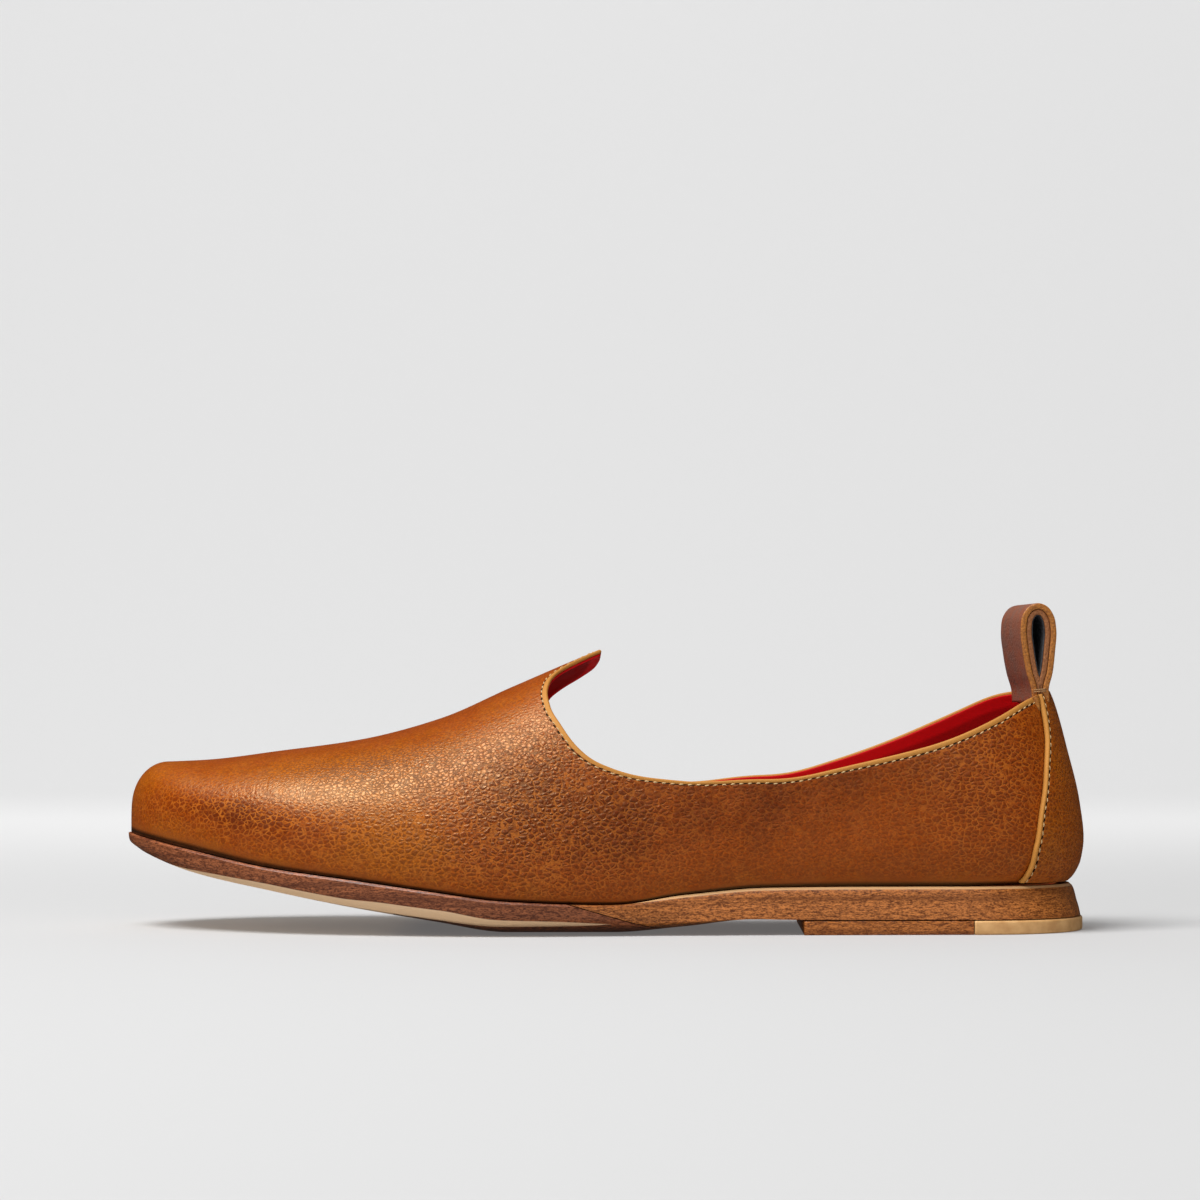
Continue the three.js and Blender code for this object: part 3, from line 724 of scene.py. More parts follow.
counter_fields = {
    "pebble": both_faces(0.35),
    "tone": both_faces(0.2),
    "milled": both_faces(0.7),
    "grain": both_faces(0.42),
    "flex": both_faces(0.0),
    "edge": both_faces(front_mm),
    "foot": both_faces(length_from_foot(strip) + COUNTER_ABOVE_FOOT),
    "seam": both_faces(counter_phase),
}
counter = grid_object("counter_strip", counter_grid, False, True, counter_fields)
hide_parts("counter")

# %% [markdown]
# ## Pull loop
# The strip's upper end is folded into a loop of two plies, cognac outside and slate inside, tacked with
# thread at its neck. A strap is a rounded rectangle carried along a path: up the front, over the top and
# down the back.

# %% Pull loop
LOOP_PATH = {
    "z": (69.5, 73.6, 78, 85, 92, 96, 98.8, 99.8, 98.8, 96, 92, 85, 78, 73.6, 69.5),
    "x": (
        *(129.5, 129.2, 127.9, 126.6, 126.0, 126.6, 128.6),
        *(131.6, 134.4, 136.4, 137.2, 136.8, 135.9, 134.8, 135.0),
    ),
}
LOOP_WIDTH, LOOP_SKEW, LOOP_CENTRE_X = 26.0, math.radians(8.5), 131.6
PLY_OUT, PLY_IN, SLATE = 1.85, 1.6, 0.3
LOOP_STEPS, CORNER_STEPS = 90, 5


def loop_line(count):
    """The loop's outer face seen from the side, evenly spaced, with its outward normals."""
    x, z = np.array(LOOP_PATH["x"]), np.array(LOOP_PATH["z"])
    place = np.concatenate([[0], np.cumsum(np.hypot(np.diff(x), np.diff(z)))])
    fine = np.linspace(0, place[-1], count)
    line = np.stack([smooth_through(place, x)(fine), smooth_through(place, z)(fine)], axis=1)
    ahead = unit(np.gradient(line, axis=0))
    return line, np.stack([-ahead[:, 1], ahead[:, 0]], axis=1)


def rounded_rectangle(width, thick, radius, steps):
    """Points round a rectangle with rounded corners, as across and outward distances from its centre."""
    turn = (np.arange(4)[:, None] * np.pi / 2 + np.linspace(0, np.pi / 2, steps)[None, :]).ravel()
    corner = np.repeat(np.array([[1, 1], [-1, 1], [-1, -1], [1, -1]]), steps, axis=0)
    core = corner * np.array([width / 2 - radius, thick / 2 - radius])
    return core + radius * np.stack([np.cos(turn), np.sin(turn)], axis=1)


def turned_in_plan(points):
    """The strap turned a little about a vertical axis, as the loop sits on the shoe."""
    x, y, z = points[..., 0] - LOOP_CENTRE_X, points[..., 1], points[..., 2]
    cos, sin = math.cos(LOOP_SKEW), math.sin(LOOP_SKEW)
    y0 = section["axis"](LOOP_CENTRE_X)
    return np.stack([LOOP_CENTRE_X + x * cos - y * sin, y0 + x * sin + y * cos, z], axis=-1)


def strap(name, inset, thick, width, radius):
    """One ply of the loop: the rectangle's outer side runs inset behind the loop's outer face."""
    line, normal = loop_line(LOOP_STEPS)
    profile = rounded_rectangle(width, thick, radius, CORNER_STEPS)
    depth = inset + thick / 2
    n = normal[:, None, :] * (profile[None, :, 1:] - depth)
    across = np.broadcast_to(profile[None, :, 0], n.shape[:2])
    ring = np.stack([line[:, None, 0] + n[..., 0], across, line[:, None, 1] + n[..., 1]], axis=-1)
    ring = closed_ends(ring)
    rim_share = smoothstep(np.abs(profile[:, 0]), width / 2 - radius, width / 2 - radius / 2)
    fields = {"rim": np.broadcast_to(rim_share, ring.shape[:2])}
    return grid_object(name, turned_in_plan(ring), False, True, fields)


loop_outer = strap("loop_outer_ply", 0.0, PLY_OUT, LOOP_WIDTH, 0.5)
loop_inner = strap("loop_inner_ply", PLY_OUT + 0.08, PLY_IN, LOOP_WIDTH - 0.5, 0.45)
loop_slate = strap("loop_slate_lining", PLY_OUT + PLY_IN + 0.12, SLATE, LOOP_WIDTH - 1.4, 0.12)
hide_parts("pull_loop")

# %% [markdown]
# Below the neck the strap's cut ends taper to small tabs that lie along the counter's front edges, and a
# few strands of thread hold the fold.

# %% Neck of the loop
TAB_ROWS, TAB_SIZE, TAB_END, TAB_OUT = 26, 1.5, 0.02, 0.9
NECK_X, NECK_Z, NECK_OUT = (128.9, 134.8), (73.0, 72.6), 0.1
STRAND_UP, STRAND_LENGTH, STRAND_SLANT = (0.0, 0.6), 4.4, 9.0


def neck_tab(name, edge_line, edge_normal, ahead):
    """A tapered ridge of round section along the top of the counter's front edge."""
    s = np.linspace(0, 1, len(edge_line))[:, None, None]
    turn = np.linspace(0, 2 * np.pi, 14, endpoint=False)[None, :, None]
    size = TAB_SIZE * np.sqrt(1 - s) + TAB_END
    middle = edge_line[:, None] + ahead[:, None] * TAB_OUT * size
    round_part = ahead[:, None] * np.cos(turn) + edge_normal[:, None] * np.sin(turn)
    ring = closed_ends(middle + size * round_part)
    tab = grid_object(name, ring, False, True, {"rim": np.ones(ring.shape[:2])})
    return tab


neck_tabs = []
for label, column, step in (("outer", 0, 1), ("inner", -1, -1)):
    line = strip[column, ::-1][:TAB_ROWS]
    out = strip_normal[column, ::-1][:TAB_ROWS]
    forward = -unit((strip[column + 4 * step] - strip[column])[::-1][:TAB_ROWS])
    neck_tabs.append(neck_tab(f"neck_tab_{label}", line, out, forward))
neck_threads = []
for label, side in (("outer", OUTER), ("inner", INNER)):
    strand_y = side * (LOOP_WIDTH / 2 + NECK_OUT)
    strands = np.stack([NECK_X, (strand_y, strand_y), NECK_Z], axis=1)
    out = turned_in_plan(np.array([[0.0, 0.0, 0.0], [0.0, float(side), 0.0]]))
    out = np.repeat(unit(out[1:] - out[:1]), 2, axis=0)
    for height in STRAND_UP:
        line = turned_in_plan(strands + np.array([0, 0, height]))
        name = f"neck_thread_{label}_{height:.0f}"
        neck_threads.append(stitch_row(name, line, out, 1, length=STRAND_LENGTH, slant=STRAND_SLANT))

# %% [markdown]
# ## Sole
# The sole is a ring of rows carried along the shoe: top face, side and cambered bottom. Its side is
# upright with a bevel under the forefoot and flares out under the heel. A slanting scarf joint parts the
# dark outsole from the stacked rear. Each part stops at the joint's plane, so no cutting is needed.

# %% Sole profiles
GAP = 0.3
FLAT_SHARE = 0.45
SCARF_X, SCARF_Z = (-8.0, 12.0), (9.2, 3.2)
SIDE_CHANGE = (-10, 35)
side_down = (0, 0.1, 0.55, 0.72, 1)
side_fore = curve_through(side_down, (-0.7, 0, -0.2, -0.6, -3.2))
side_rear = curve_through(side_down, (-3.4, -2.4, -1.1, -0.6, 0))


def sole_top(x, across, round_share):
    """Top face: the feather line's height, dished between the edges."""
    return section["feather"](x) - GAP - section["camber"](x) * round_share * (1 - across**2)


def sole_bottom(x, across, round_share):
    """Bottom face: flat along the middle, rising towards the edges."""
    reach = np.clip((across - FLAT_SHARE) / (1 - FLAT_SHARE), 0, 1)
    return section["under"](x) + section["camber"](x) * round_share * reach**2


def scarf_height(x):
    """Height of the scarf joint's plane."""
    return SCARF_Z[0] + (x - SCARF_X[0]) * (SCARF_Z[1] - SCARF_Z[0]) / (SCARF_X[1] - SCARF_X[0])


def side_offset(x, down):
    """How far the side stands out at a share of its depth, changing from forefoot to rear."""
    rear = smoothstep(x, *SIDE_CHANGE)
    return side_fore(down) * (1 - rear) + side_rear(down) * rear


print("height of the joint's plane at x = 0 in mm:", round(scarf_height(0.0), 2))

# %% [markdown]
# The rows of a ring run over the top, down the side and under to the middle. Where the side stands out,
# the outline's ends move with it, so the places along the shoe are worked out twice. A field on the mesh
# says where the edge is paler: natural leather on the forefoot's bevel and the toe spring's underside, and
# a paler lip with a painted highlight along the rear's top edge.

# %% Rings of the sole
bevel_places = (-134, -115, -97, -78, -63, -47, -32, -13, 6)
bevel_height = curve_through(bevel_places, (-0.2, 1.5, 2, 2, 2.6, 2.6, 1.5, 0.9, -0.2))
UNDER_BARE_TO, BARE_FORE_TO = -62.0, 6
# Paler lip along the rear's top edge: paler leather with a painted highlight.
LIP, LIP_FROM, LIP_FADE = 0.8, (6, 24), 0.1
SOLE_STEPS = (8, 26, 8)


def sole_rows(top_steps, side_steps, bottom_steps):
    """across and depth for the rows of half a ring: over the top, down the side and under to the middle."""
    top = np.linspace(0, 1, top_steps, endpoint=False)
    down = edge_spaced(side_steps)
    bottom = np.linspace(1, 0, bottom_steps + 1)[1:]
    across = np.concatenate([top, np.ones(side_steps), bottom])
    depth = np.concatenate([0 * top, down, 1 + 0 * bottom])
    return across, depth


def ring_across(values):
    """Row values of a whole ring from those of its first half."""
    return np.concatenate([values, values[1:-1][::-1]])[None, :]


def natural_and_highlight_field(x, down, across, thick):
    """Above zero where the edge is paler: natural leather on the forefoot's lower bevel and on the underside
    of the toe spring, and the thin lip along the top edge of the rear, paler leather with a painted
    highlight."""
    # Behind the toe spring the underside keeps the dark edge colour: painted shade for the sole's underside.
    under = np.where(down > 0.5, UNDER_BARE_TO - x, -1.0)
    low_bevel = np.where(across < 1, under, bevel_height(x) - (1 - down) * thick)
    top_lip = np.where(across < 1, -1.0, LIP * smoothstep(x, *LIP_FROM) - LIP_FADE - down * thick)
    return np.maximum(np.where(x < BARE_FORE_TO, low_bevel, top_lip), -1)


def sole_part(name, upper_cut, lower_cut, x_from, x_to, columns=260):
    """A closed part of the sole. The cuts, functions of x and the free height, limit its top and bottom, and
    its stations run between two places that may differ from row to row."""
    across, depth = (ring_across(values) for values in sole_rows(*SOLE_STEPS))
    half_rows = (across.shape[1] + 2) // 2
    side = np.where(np.arange(across.shape[1]) < half_rows, INNER, OUTER)[None, :]
    share = np.linspace(0, 1, columns)[:, None]
    guess = station_x(share, x_from, x_to) + 0 * across
    true_down = depth + 0 * guess
    for _ in range(2):
        offset = side_offset(guess, true_down)
        toe, heel = TOE_X - offset, SOLE_HEEL_X + offset
        x = station_x(share, np.maximum(x_from, toe), np.minimum(x_to, heel))
        round_share = end_round(x, toe, heel)
        top, bottom = sole_top(x, across, round_share), sole_bottom(x, across, round_share)
        high = np.maximum(upper_cut(x, top), bottom)
        low = np.minimum(lower_cut(x, bottom), top)
        z = high + (low - high) * depth
        true_down = np.clip((top - z) / np.maximum(top - bottom, 1e-6), 0, 1)
        guess = x
    half = (section["half"](x) + offset) * round_share
    grid = np.stack([x, section["axis"](x) + side * half * across, z], axis=-1)
    natural_and_highlight = np.pad(natural_and_highlight_field(x, true_down, across, top - bottom), ((1, 1), (0, 0)), mode="edge")
    return grid_object(name, closed_ends(grid), False, True, {"natural_and_highlight": natural_and_highlight})


half_across = sole_rows(*SOLE_STEPS)[0]
print("rows in half a ring:", len(half_across))

# %% [markdown]
# A part of the sole ends where the joint's plane meets its top or bottom. These faces are dished, so that
# place differs from row to row.

# %% Outsole and rear sole
SOLE_END = 9.0
JOINT_BETWEEN, JOINT_STEPS = (-20, 40), 601


def meeting(face, across):
    """Where the scarf joint's plane meets the sole's top or bottom face, for each share across."""
    x = np.linspace(*JOINT_BETWEEN, JOINT_STEPS)[:, None]
    height = face(x, across, 1.0)
    return x[np.argmin(np.abs(scarf_height(x) - height), axis=0), 0]


outsole = sole_part(
    "outsole_leather",
    lambda x, top: np.minimum(top, scarf_height(x) - GAP / 2),
    lambda x, bottom: bottom,
    TOE_X - SOLE_END,
    ring_across(meeting(sole_bottom, half_across)),
)
rear_sole = sole_part(
    "rear_sole_stack",
    lambda x, top: top,
    lambda x, bottom: np.maximum(bottom, scarf_height(x) + GAP / 2),
    ring_across(meeting(sole_top, half_across)),
    SOLE_HEEL_X + SOLE_END,
)
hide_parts("outsole")
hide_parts("rear_sole")

# %% [markdown]
# ## Insole
# The insole is a thin red board on the dished top of the sole, a little smaller than the upper's inside.
# It uses the same rings with its own offset.

# %% Insole
INSOLE_THICK, INSOLE_GAP, UPPER_WALL = 2.5, 0.5, 2.0
INSOLE_FREE, INSOLE_BULGE = 0.4, 0.4


def insole_grid(columns, half_rows):
    """Rings of a flat board whose edge is rounded: across runs over the top, round the edge and under."""
    turn = np.linspace(0, np.pi, half_rows)
    across = np.concatenate([np.linspace(0, 1, half_rows), np.ones(half_rows), np.linspace(1, 0, half_rows)])
    up = np.concatenate([np.ones(half_rows), (1 + np.cos(turn)) / 2, np.zeros(half_rows)])
    bulge = np.concatenate([np.zeros(half_rows), np.sin(turn) * INSOLE_BULGE, np.zeros(half_rows)])
    across, up, bulge = (np.concatenate([row, row[::-1]])[None, :] for row in (across, up, bulge))
    side = np.where(np.arange(across.shape[1]) < across.shape[1] // 2, INNER, OUTER)[None, :]
    share = np.linspace(0, 1, columns)[:, None]
    guess = station_x(share, TOE_X, SOLE_HEEL_X)
    at_heel = smoothstep(guess, SOLE_HEEL_X - HEEL_ROUND, SOLE_HEEL_X)
    inset = section["margin"](guess) * (1 - at_heel) + (SOLE_HEEL_X - UPPER_HEEL_X) * at_heel
    offset = -(inset + UPPER_WALL + 2 * GAP + INSOLE_FREE) + bulge
    x = station_x(share, TOE_X - offset, SOLE_HEEL_X + offset)
    round_share = end_round(x, TOE_X - offset, SOLE_HEEL_X + offset)
    half = (section["half"](x) + offset) * round_share
    z = sole_top(x, across, round_share) + INSOLE_GAP + INSOLE_THICK * up
    return np.stack([x, section["axis"](x) + side * half * across, z], axis=-1)


insole = grid_object("insole_board", insole_grid(160, 14), False, True)
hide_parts("insole")

# %% [markdown]
# ## Heel layer
# The lowest layer has a leather front and a pale rubber piece at the back, where heels wear. Each is the
# sole's outline between two places along the shoe, with edges rounded a little.

# %% Heel layer
HEEL_FRONT_X, RUBBER_FRONT_X, LIFT_HEIGHT, RUBBER_PROUD = 61.0, 112.0, 4.2, 0.6
LIFT_EDGE, RUBBER_EDGE = 0.35, 0.7
NO_STOP = 999.0


def heel_part(name, x_from, x_to, offset, edge, columns=90):
    """Rings of a rectangle across the shoe, out to the sole's outline, with its corners rounded."""
    profile = rounded_rectangle(2.0, LIFT_HEIGHT, edge, 6)
    across = profile[None, :, 0]
    height = LIFT_HEIGHT / 2 + profile[None, :, 1]
    past = np.clip(np.abs(profile[:, 1]) - LIFT_HEIGHT / 2 + edge, 0, None)
    inset = edge - np.sqrt(np.clip(edge**2 - past**2, 0, None))
    heel = SOLE_HEEL_X + offset - inset[None, :]
    share = np.linspace(0, 1, columns)[:, None]
    stop = np.minimum(x_to, heel)
    x = x_from + (stop - x_from) * np.sin(share * np.pi / 2)
    half = (section["half"](x) + offset - inset[None, :]) * end_round(x, TOE_X, heel)
    reach = np.sign(across) * np.where(np.abs(across) > 0.5, 1.0, np.abs(across))
    y = section["axis"](x) + reach * half
    grid = closed_ends(np.stack([x, y + 0 * height, height + 0 * x], axis=-1))
    return grid_object(name, grid, False, True, {"natural_and_highlight": np.full(grid.shape[:2], -1.0)})


heel_lift = heel_part("heel_lift_stack", HEEL_FRONT_X, RUBBER_FRONT_X - GAP, 0.0, LIFT_EDGE)
heel_rubber = heel_part("heel_rubber_piece", RUBBER_FRONT_X, NO_STOP, RUBBER_PROUD, RUBBER_EDGE)
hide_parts("heel_lift")
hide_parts("heel_rubber")

# %% [markdown]
# ## Colours and nodes
# All colours are given as the hex values a paint program shows and turned into linear light by one
# function. A material is a small graph of nodes: one helper adds a node, sets its choices and fills its
# sockets with numbers, hex colours or the outputs of other nodes.

# %% Colour and node helpers
PLUS, LESS, TIMES = {"operation": "ADD"}, {"operation": "SUBTRACT"}, {"operation": "MULTIPLY"}
SMOOTH = {"interpolation_type": "SMOOTHSTEP"}
CELL_WALLS = {"feature": "DISTANCE_TO_EDGE"}
COLOURS = {"out": 2, "data_type": "RGBA"}
SHARE, FIRST, SECOND = 0, 6, 7


def linear(hex_colour):
    """sRGB hex to linear red, green, blue and alpha."""
    parts = [int(hex_colour[i : i + 2], 16) / 255 for i in (1, 3, 5)]
    return [p / 12.92 if p <= 0.04045 else ((p + 0.055) / 1.055) ** 2.4 for p in parts] + [1.0]


def fill(tree, node, inputs):
    """Fills a node's sockets with numbers, hex colours or the outputs of other nodes."""
    for socket, value in inputs.items():
        if isinstance(value, bpy.types.NodeSocket):
            tree.links.new(value, node.inputs[socket])
        else:
            node.inputs[socket].default_value = linear(value) if isinstance(value, str) else value


def add(tree, kind, inputs, out=0, **choices):
    """Adds one node with its choices, fills its sockets and gives back the wanted output."""
    node = tree.nodes.new("ShaderNode" + kind)
    for name, choice in choices.items():
        setattr(node, name, choice)
    fill(tree, node, inputs)
    return node.outputs[out]


def new_material(name, inputs):
    """A material with one Principled shader. What is the same all over is set on the shader's sockets."""
    material = bpy.data.materials.new(name)
    material.use_nodes = True
    shader = material.node_tree.nodes["Principled BSDF"]
    fill(material.node_tree, shader, inputs)
    return material, material.node_tree, shader


def dress(material, *objects):
    """Gives objects one material."""
    for item in objects:
        item.data.materials.clear()
        item.data.materials.append(material)
    print(material.name, "on", [item.name for item in objects])


print("middle grey in linear light:", round(linear("#808080")[0], 3))

# %% [markdown]
# ## Cognac pull-up leather
# Waxed calf with a milled pebble grain. Fine pebbles of about a millimetre catch the light on their tops,
# and the creases between them are painted darker as shade. At the toe, the ball and the heel the wax has
# drawn off the walls of larger cells, which leaves dark cells with golden lines. Both patterns come from 3-D
# cells in a slightly bent space, so the grain runs over every edge without a seam.

# %% Colours, space and cells of the leather
LIGHT_TAN, COGNAC, BURNT, GOLD = "#b05c06", "#a24504", "#651f00", "#c46c1c"
BAND_TAN, RIM_BROWN, PAINTED_SHADE_BROWN, CREASE_SHADE_BROWN = "#bb8038", "#7d451d", "#1c0d05", "#4a1500"
FINE_PEBBLE, COARSE_CELL = 1.1 * MM, 1.35 * MM
PUSH_SCALE, PUSH, SQUEEZE = 520, 1.1 * MM, (0.85, 1.0, 1.0)
HOLE_SQUEEZE = 0.5
BAND = 1.1
MESH_FIELDS = ("tone", "grain", "milled", "pebble", "flex", "edge", "foot", "seam")


def leather_space(tree):
    """Object coordinates, and the same pushed about by noise by up to about half a millimetre and squeezed
    along x, so that the cells are a little longer that way."""
    place = add(tree, "TexCoord", {}, "Object")
    push = add(tree, "TexNoise", {"Vector": place, "Scale": PUSH_SCALE, "Detail": 2.0}, "Color")
    centred = add(tree, "VectorMath", {0: push, 1: (0.5, 0.5, 0.5)}, **LESS)
    bent = add(tree, "VectorMath", {0: centred, 1: (PUSH,) * 3, 2: place}, operation="MULTIPLY_ADD")
    return place, add(tree, "VectorMath", {0: bent, 1: SQUEEZE}, **TIMES)


def leather_fields(tree):
    """The mesh's own numbers, and how far the grain stands: little on the turned edge and the lower rim."""
    read = {name: add(tree, "Attribute", {}, "Fac", attribute_name=name) for name in MESH_FIELDS}
    band = add(tree, "MapRange", {0: read["edge"], 1: BAND - 0.4, 2: BAND + 0.5, 3: 0.1, 4: 1.0}, **SMOOTH)
    rim = add(tree, "MapRange", {0: read["foot"], 1: 1.5, 2: 5.0, 3: 0.2, 4: 1.0}, **SMOOTH)
    read["standing"] = add(tree, "Math", {0: band, 1: rim}, **TIMES)
    read["marked"] = add(tree, "Math", {0: read["grain"], 1: read["standing"]}, **TIMES)
    read["pebbled"] = add(tree, "Math", {0: read["pebble"], 1: read["standing"]}, **TIMES)
    return read


def leather_cells(tree, bent):
    """Fine pebbles and large cells, from 0 at their walls to 1: the cells once with flat tops, for the
    colour, and once as domes, for the relief. Also the large cells' walls."""
    fine = add(tree, "TexVoronoi", {"Vector": bent, "Scale": 1 / FINE_PEBBLE}, "Distance", **CELL_WALLS)
    long = add(tree, "VectorMath", {0: bent, 1: (0.8, 1.0, 1.0)}, **TIMES)
    large = add(tree, "TexVoronoi", {"Vector": long, "Scale": 1 / COARSE_CELL}, "Distance", **CELL_WALLS)
    return {
        "fine": add(tree, "MapRange", {0: fine, 1: 0.0, 2: 0.3}, **SMOOTH),
        "large": add(tree, "MapRange", {0: large, 1: 0.0, 2: 0.2}, **SMOOTH),
        "dome": add(tree, "MapRange", {0: large, 1: 0.0, 2: 0.42}, **SMOOTH),
        "walls": add(tree, "MapRange", {0: large, 1: 0.02, 2: 0.15, 3: 0.85, 4: 0.0}, **SMOOTH),
    }


def stitch_holes(tree, read):
    """1 in the needle holes of a seam: slots at each whole number of the seam's stitch count."""
    step = add(tree, "Math", {0: read["seam"], 1: 0.5}, operation="PINGPONG")
    along = add(tree, "Math", {0: step, 1: STITCH_PITCH * HOLE_SQUEEZE}, **TIMES)
    across = add(tree, "Math", {0: read["edge"], 1: STITCH_IN}, **LESS)
    offset = add(tree, "CombineXYZ", {0: along, 1: across})
    reach = add(tree, "VectorMath", {0: offset}, "Value", operation="LENGTH")
    return add(tree, "MapRange", {0: reach, 1: 0.22, 2: 0.36, 3: 1.0, 4: 0.0}, **SMOOTH)


print("pebbles in a metre:", round(1 / FINE_PEBBLE), "large cells:", round(1 / COARSE_CELL))

# %% [markdown]
# The colour goes from tan over cognac to burnt brown by the mesh's tone, unevened by two sizes of noise.
# Creases get painted shade, large cells are burnt, and their walls turn golden where the wax is broken. The
# borders are a greyer rim at the foot, painted in for the pale floor's reflection, a painted shade line
# where the leather goes under, and a tan turned edge; the needle holes get painted shade too.

# %% Colour of the leather
# Field and its range in mm, share of the colour at the range's low end, colour.
BORDERS = (
    # Greyer rim at the foot: painted reflection of the pale floor, where the grain also stands lower.
    ("foot", 1.0, 5.0, 0.55, RIM_BROWN),
    # Painted shade: the dark line where the upper goes under the sole.
    ("foot", 0.7, 2.3, 0.94, PAINTED_SHADE_BROWN),
    ("edge", BAND - 0.2, BAND + 0.2, 0.85, BAND_TAN),
)


def leather_tone(tree, place, read):
    """Tan to cognac to burnt by tone and uneven noise."""
    broad = add(tree, "TexNoise", {"Vector": place, "Scale": 70, "Detail": 4.0})
    small = add(tree, "TexNoise", {"Vector": place, "Scale": 620, "Detail": 3.0})
    both = add(tree, "Math", {0: broad, 1: small}, **PLUS)
    uneven = add(tree, "MapRange", {0: both, 1: 0.5, 2: 1.5, 3: -0.24, 4: 0.24})
    tone_here = add(tree, "Math", {0: read["tone"], 1: uneven}, **PLUS)
    cognac_share = add(tree, "MapRange", {0: tone_here, 1: 0.0, 2: 0.5}, **SMOOTH)
    burnt_share = add(tree, "MapRange", {0: tone_here, 1: 0.45, 2: 1.0}, **SMOOTH)
    colour = add(tree, "Mix", {SHARE: cognac_share, FIRST: LIGHT_TAN, SECOND: COGNAC}, **COLOURS)
    return add(tree, "Mix", {SHARE: burnt_share, FIRST: colour, SECOND: BURNT}, **COLOURS)


def leather_colour(tree, place, read, cell, holes):
    """The tone with painted shade in the creases, burnt cells and golden walls, then the borders and the
    needle holes, with their painted reflection and painted shade, laid over each other in this order."""
    # Painted shade in the creases between the fine pebbles, as strong as the pebble field allows.
    crease = add(tree, "MapRange", {0: cell["fine"], 1: 0.1, 2: 0.8, 3: 0.85, 4: 0.0})
    crease = add(tree, "Math", {0: crease, 1: read["pebbled"]}, **TIMES)
    cell_share = add(tree, "Math", {0: cell["large"], 1: read["marked"]}, **TIMES)
    cell_share = add(tree, "Math", {0: cell_share, 1: 0.75}, **TIMES)
    wear = add(tree, "TexNoise", {"Vector": place, "Scale": 420, "Detail": 2.0})
    broken = add(tree, "MapRange", {0: wear, 1: 0.36, 2: 0.6, 3: 0.25, 4: 1.0}, **SMOOTH)
    wall_share = add(tree, "Math", {0: cell["walls"], 1: broken}, **TIMES)
    wall_share = add(tree, "Math", {0: wall_share, 1: read["marked"]}, **TIMES)
    layers = [(crease, CREASE_SHADE_BROWN), (cell_share, BURNT), (wall_share, GOLD)]
    for field, low, high, most, over in BORDERS:
        share = add(tree, "MapRange", {0: read[field], 1: low, 2: high, 3: most, 4: 0.0}, **SMOOTH)
        layers.append((share, over))
    # Painted shade in the needle holes.
    layers.append((holes, PAINTED_SHADE_BROWN))
    colour = leather_tone(tree, place, read)
    for share, over in layers:
        colour = add(tree, "Mix", {SHARE: share, FIRST: colour, SECOND: over}, **COLOURS)
    return colour


print("borders of the leather:", len(BORDERS))

# %% [markdown]
# The relief is low, since steep slopes would scatter the highlight into sparkles. Roughness of about a
# third gives a satin sheen, duller in the creases and on the turned edge.

# %% Relief, gloss and the whole leather
PORES_PER_METRE = 2600
PEBBLE_HEIGHT, CELL_HEIGHT, FOLD_HEIGHT, PORE_HEIGHT, HOLE_DEPTH = 0.24, 0.95, 1.8, 0.06, 3.0
LEATHER_SHINE, RELIEF = 0.84, 0.2 * MM


def leather_relief(tree, place, bent, read, cell, holes):
    """Height of pebbles, cells, flex wrinkles, pores and needle holes, as shares of the bump's distance."""
    rise = add(tree, "MapRange", {0: read["pebbled"], 1: 0.0, 2: 1.0, 3: 0.04, 4: PEBBLE_HEIGHT})
    pebbles = add(tree, "Math", {0: cell["fine"], 1: rise}, **TIMES)
    milled = add(tree, "Math", {0: read["milled"], 1: read["standing"]}, **TIMES)
    cells = add(tree, "Math", {0: cell["dome"], 1: milled}, **TIMES)
    height = add(tree, "Math", {0: cells, 1: CELL_HEIGHT, 2: pebbles}, operation="MULTIPLY_ADD")
    drawn = add(tree, "VectorMath", {0: bent, 1: (1.0, 0.2, 0.2)}, **TIMES)
    folds = add(tree, "TexNoise", {"Vector": drawn, "Scale": 780, "Detail": 2.0})
    folds = add(tree, "Math", {0: folds, 1: FOLD_HEIGHT}, **TIMES)
    height = add(tree, "Math", {0: folds, 1: read["flex"], 2: height}, operation="MULTIPLY_ADD")
    pores = add(tree, "TexNoise", {"Vector": place, "Scale": PORES_PER_METRE, "Detail": 3.0})
    height = add(tree, "Math", {0: pores, 1: PORE_HEIGHT, 2: height}, operation="MULTIPLY_ADD")
    return add(tree, "Math", {0: holes, 1: -HOLE_DEPTH, 2: height}, operation="MULTIPLY_ADD")


def leather_gloss(tree, place, read, cell, holes):
    """Roughness: waxed patches, duller in holes and creases, on the turned edge and on milled pebbles."""
    wax = add(tree, "TexNoise", {"Vector": place, "Scale": 160, "Detail": 4.0})
    gloss = add(tree, "MapRange", {0: wax, 1: 0.3, 2: 0.7, 3: 0.28, 4: 0.36}, **SMOOTH)
    gloss = add(tree, "Math", {0: holes, 1: 0.4, 2: gloss}, operation="MULTIPLY_ADD")
    dull = add(tree, "MapRange", {0: cell["fine"], 1: 0.0, 2: 0.9, 3: 0.22, 4: 0.0})
    gloss = add(tree, "Math", {0: dull, 1: read["pebbled"], 2: gloss}, operation="MULTIPLY_ADD")
    cut = add(tree, "MapRange", {0: read["edge"], 1: BAND - 0.2, 2: BAND + 0.4, 3: 0.28, 4: 0.0}, **SMOOTH)
    gloss = add(tree, "Math", {0: gloss, 1: cut}, **PLUS)
    return add(tree, "Math", {0: read["milled"], 1: 0.1, 2: gloss}, operation="MULTIPLY_ADD")


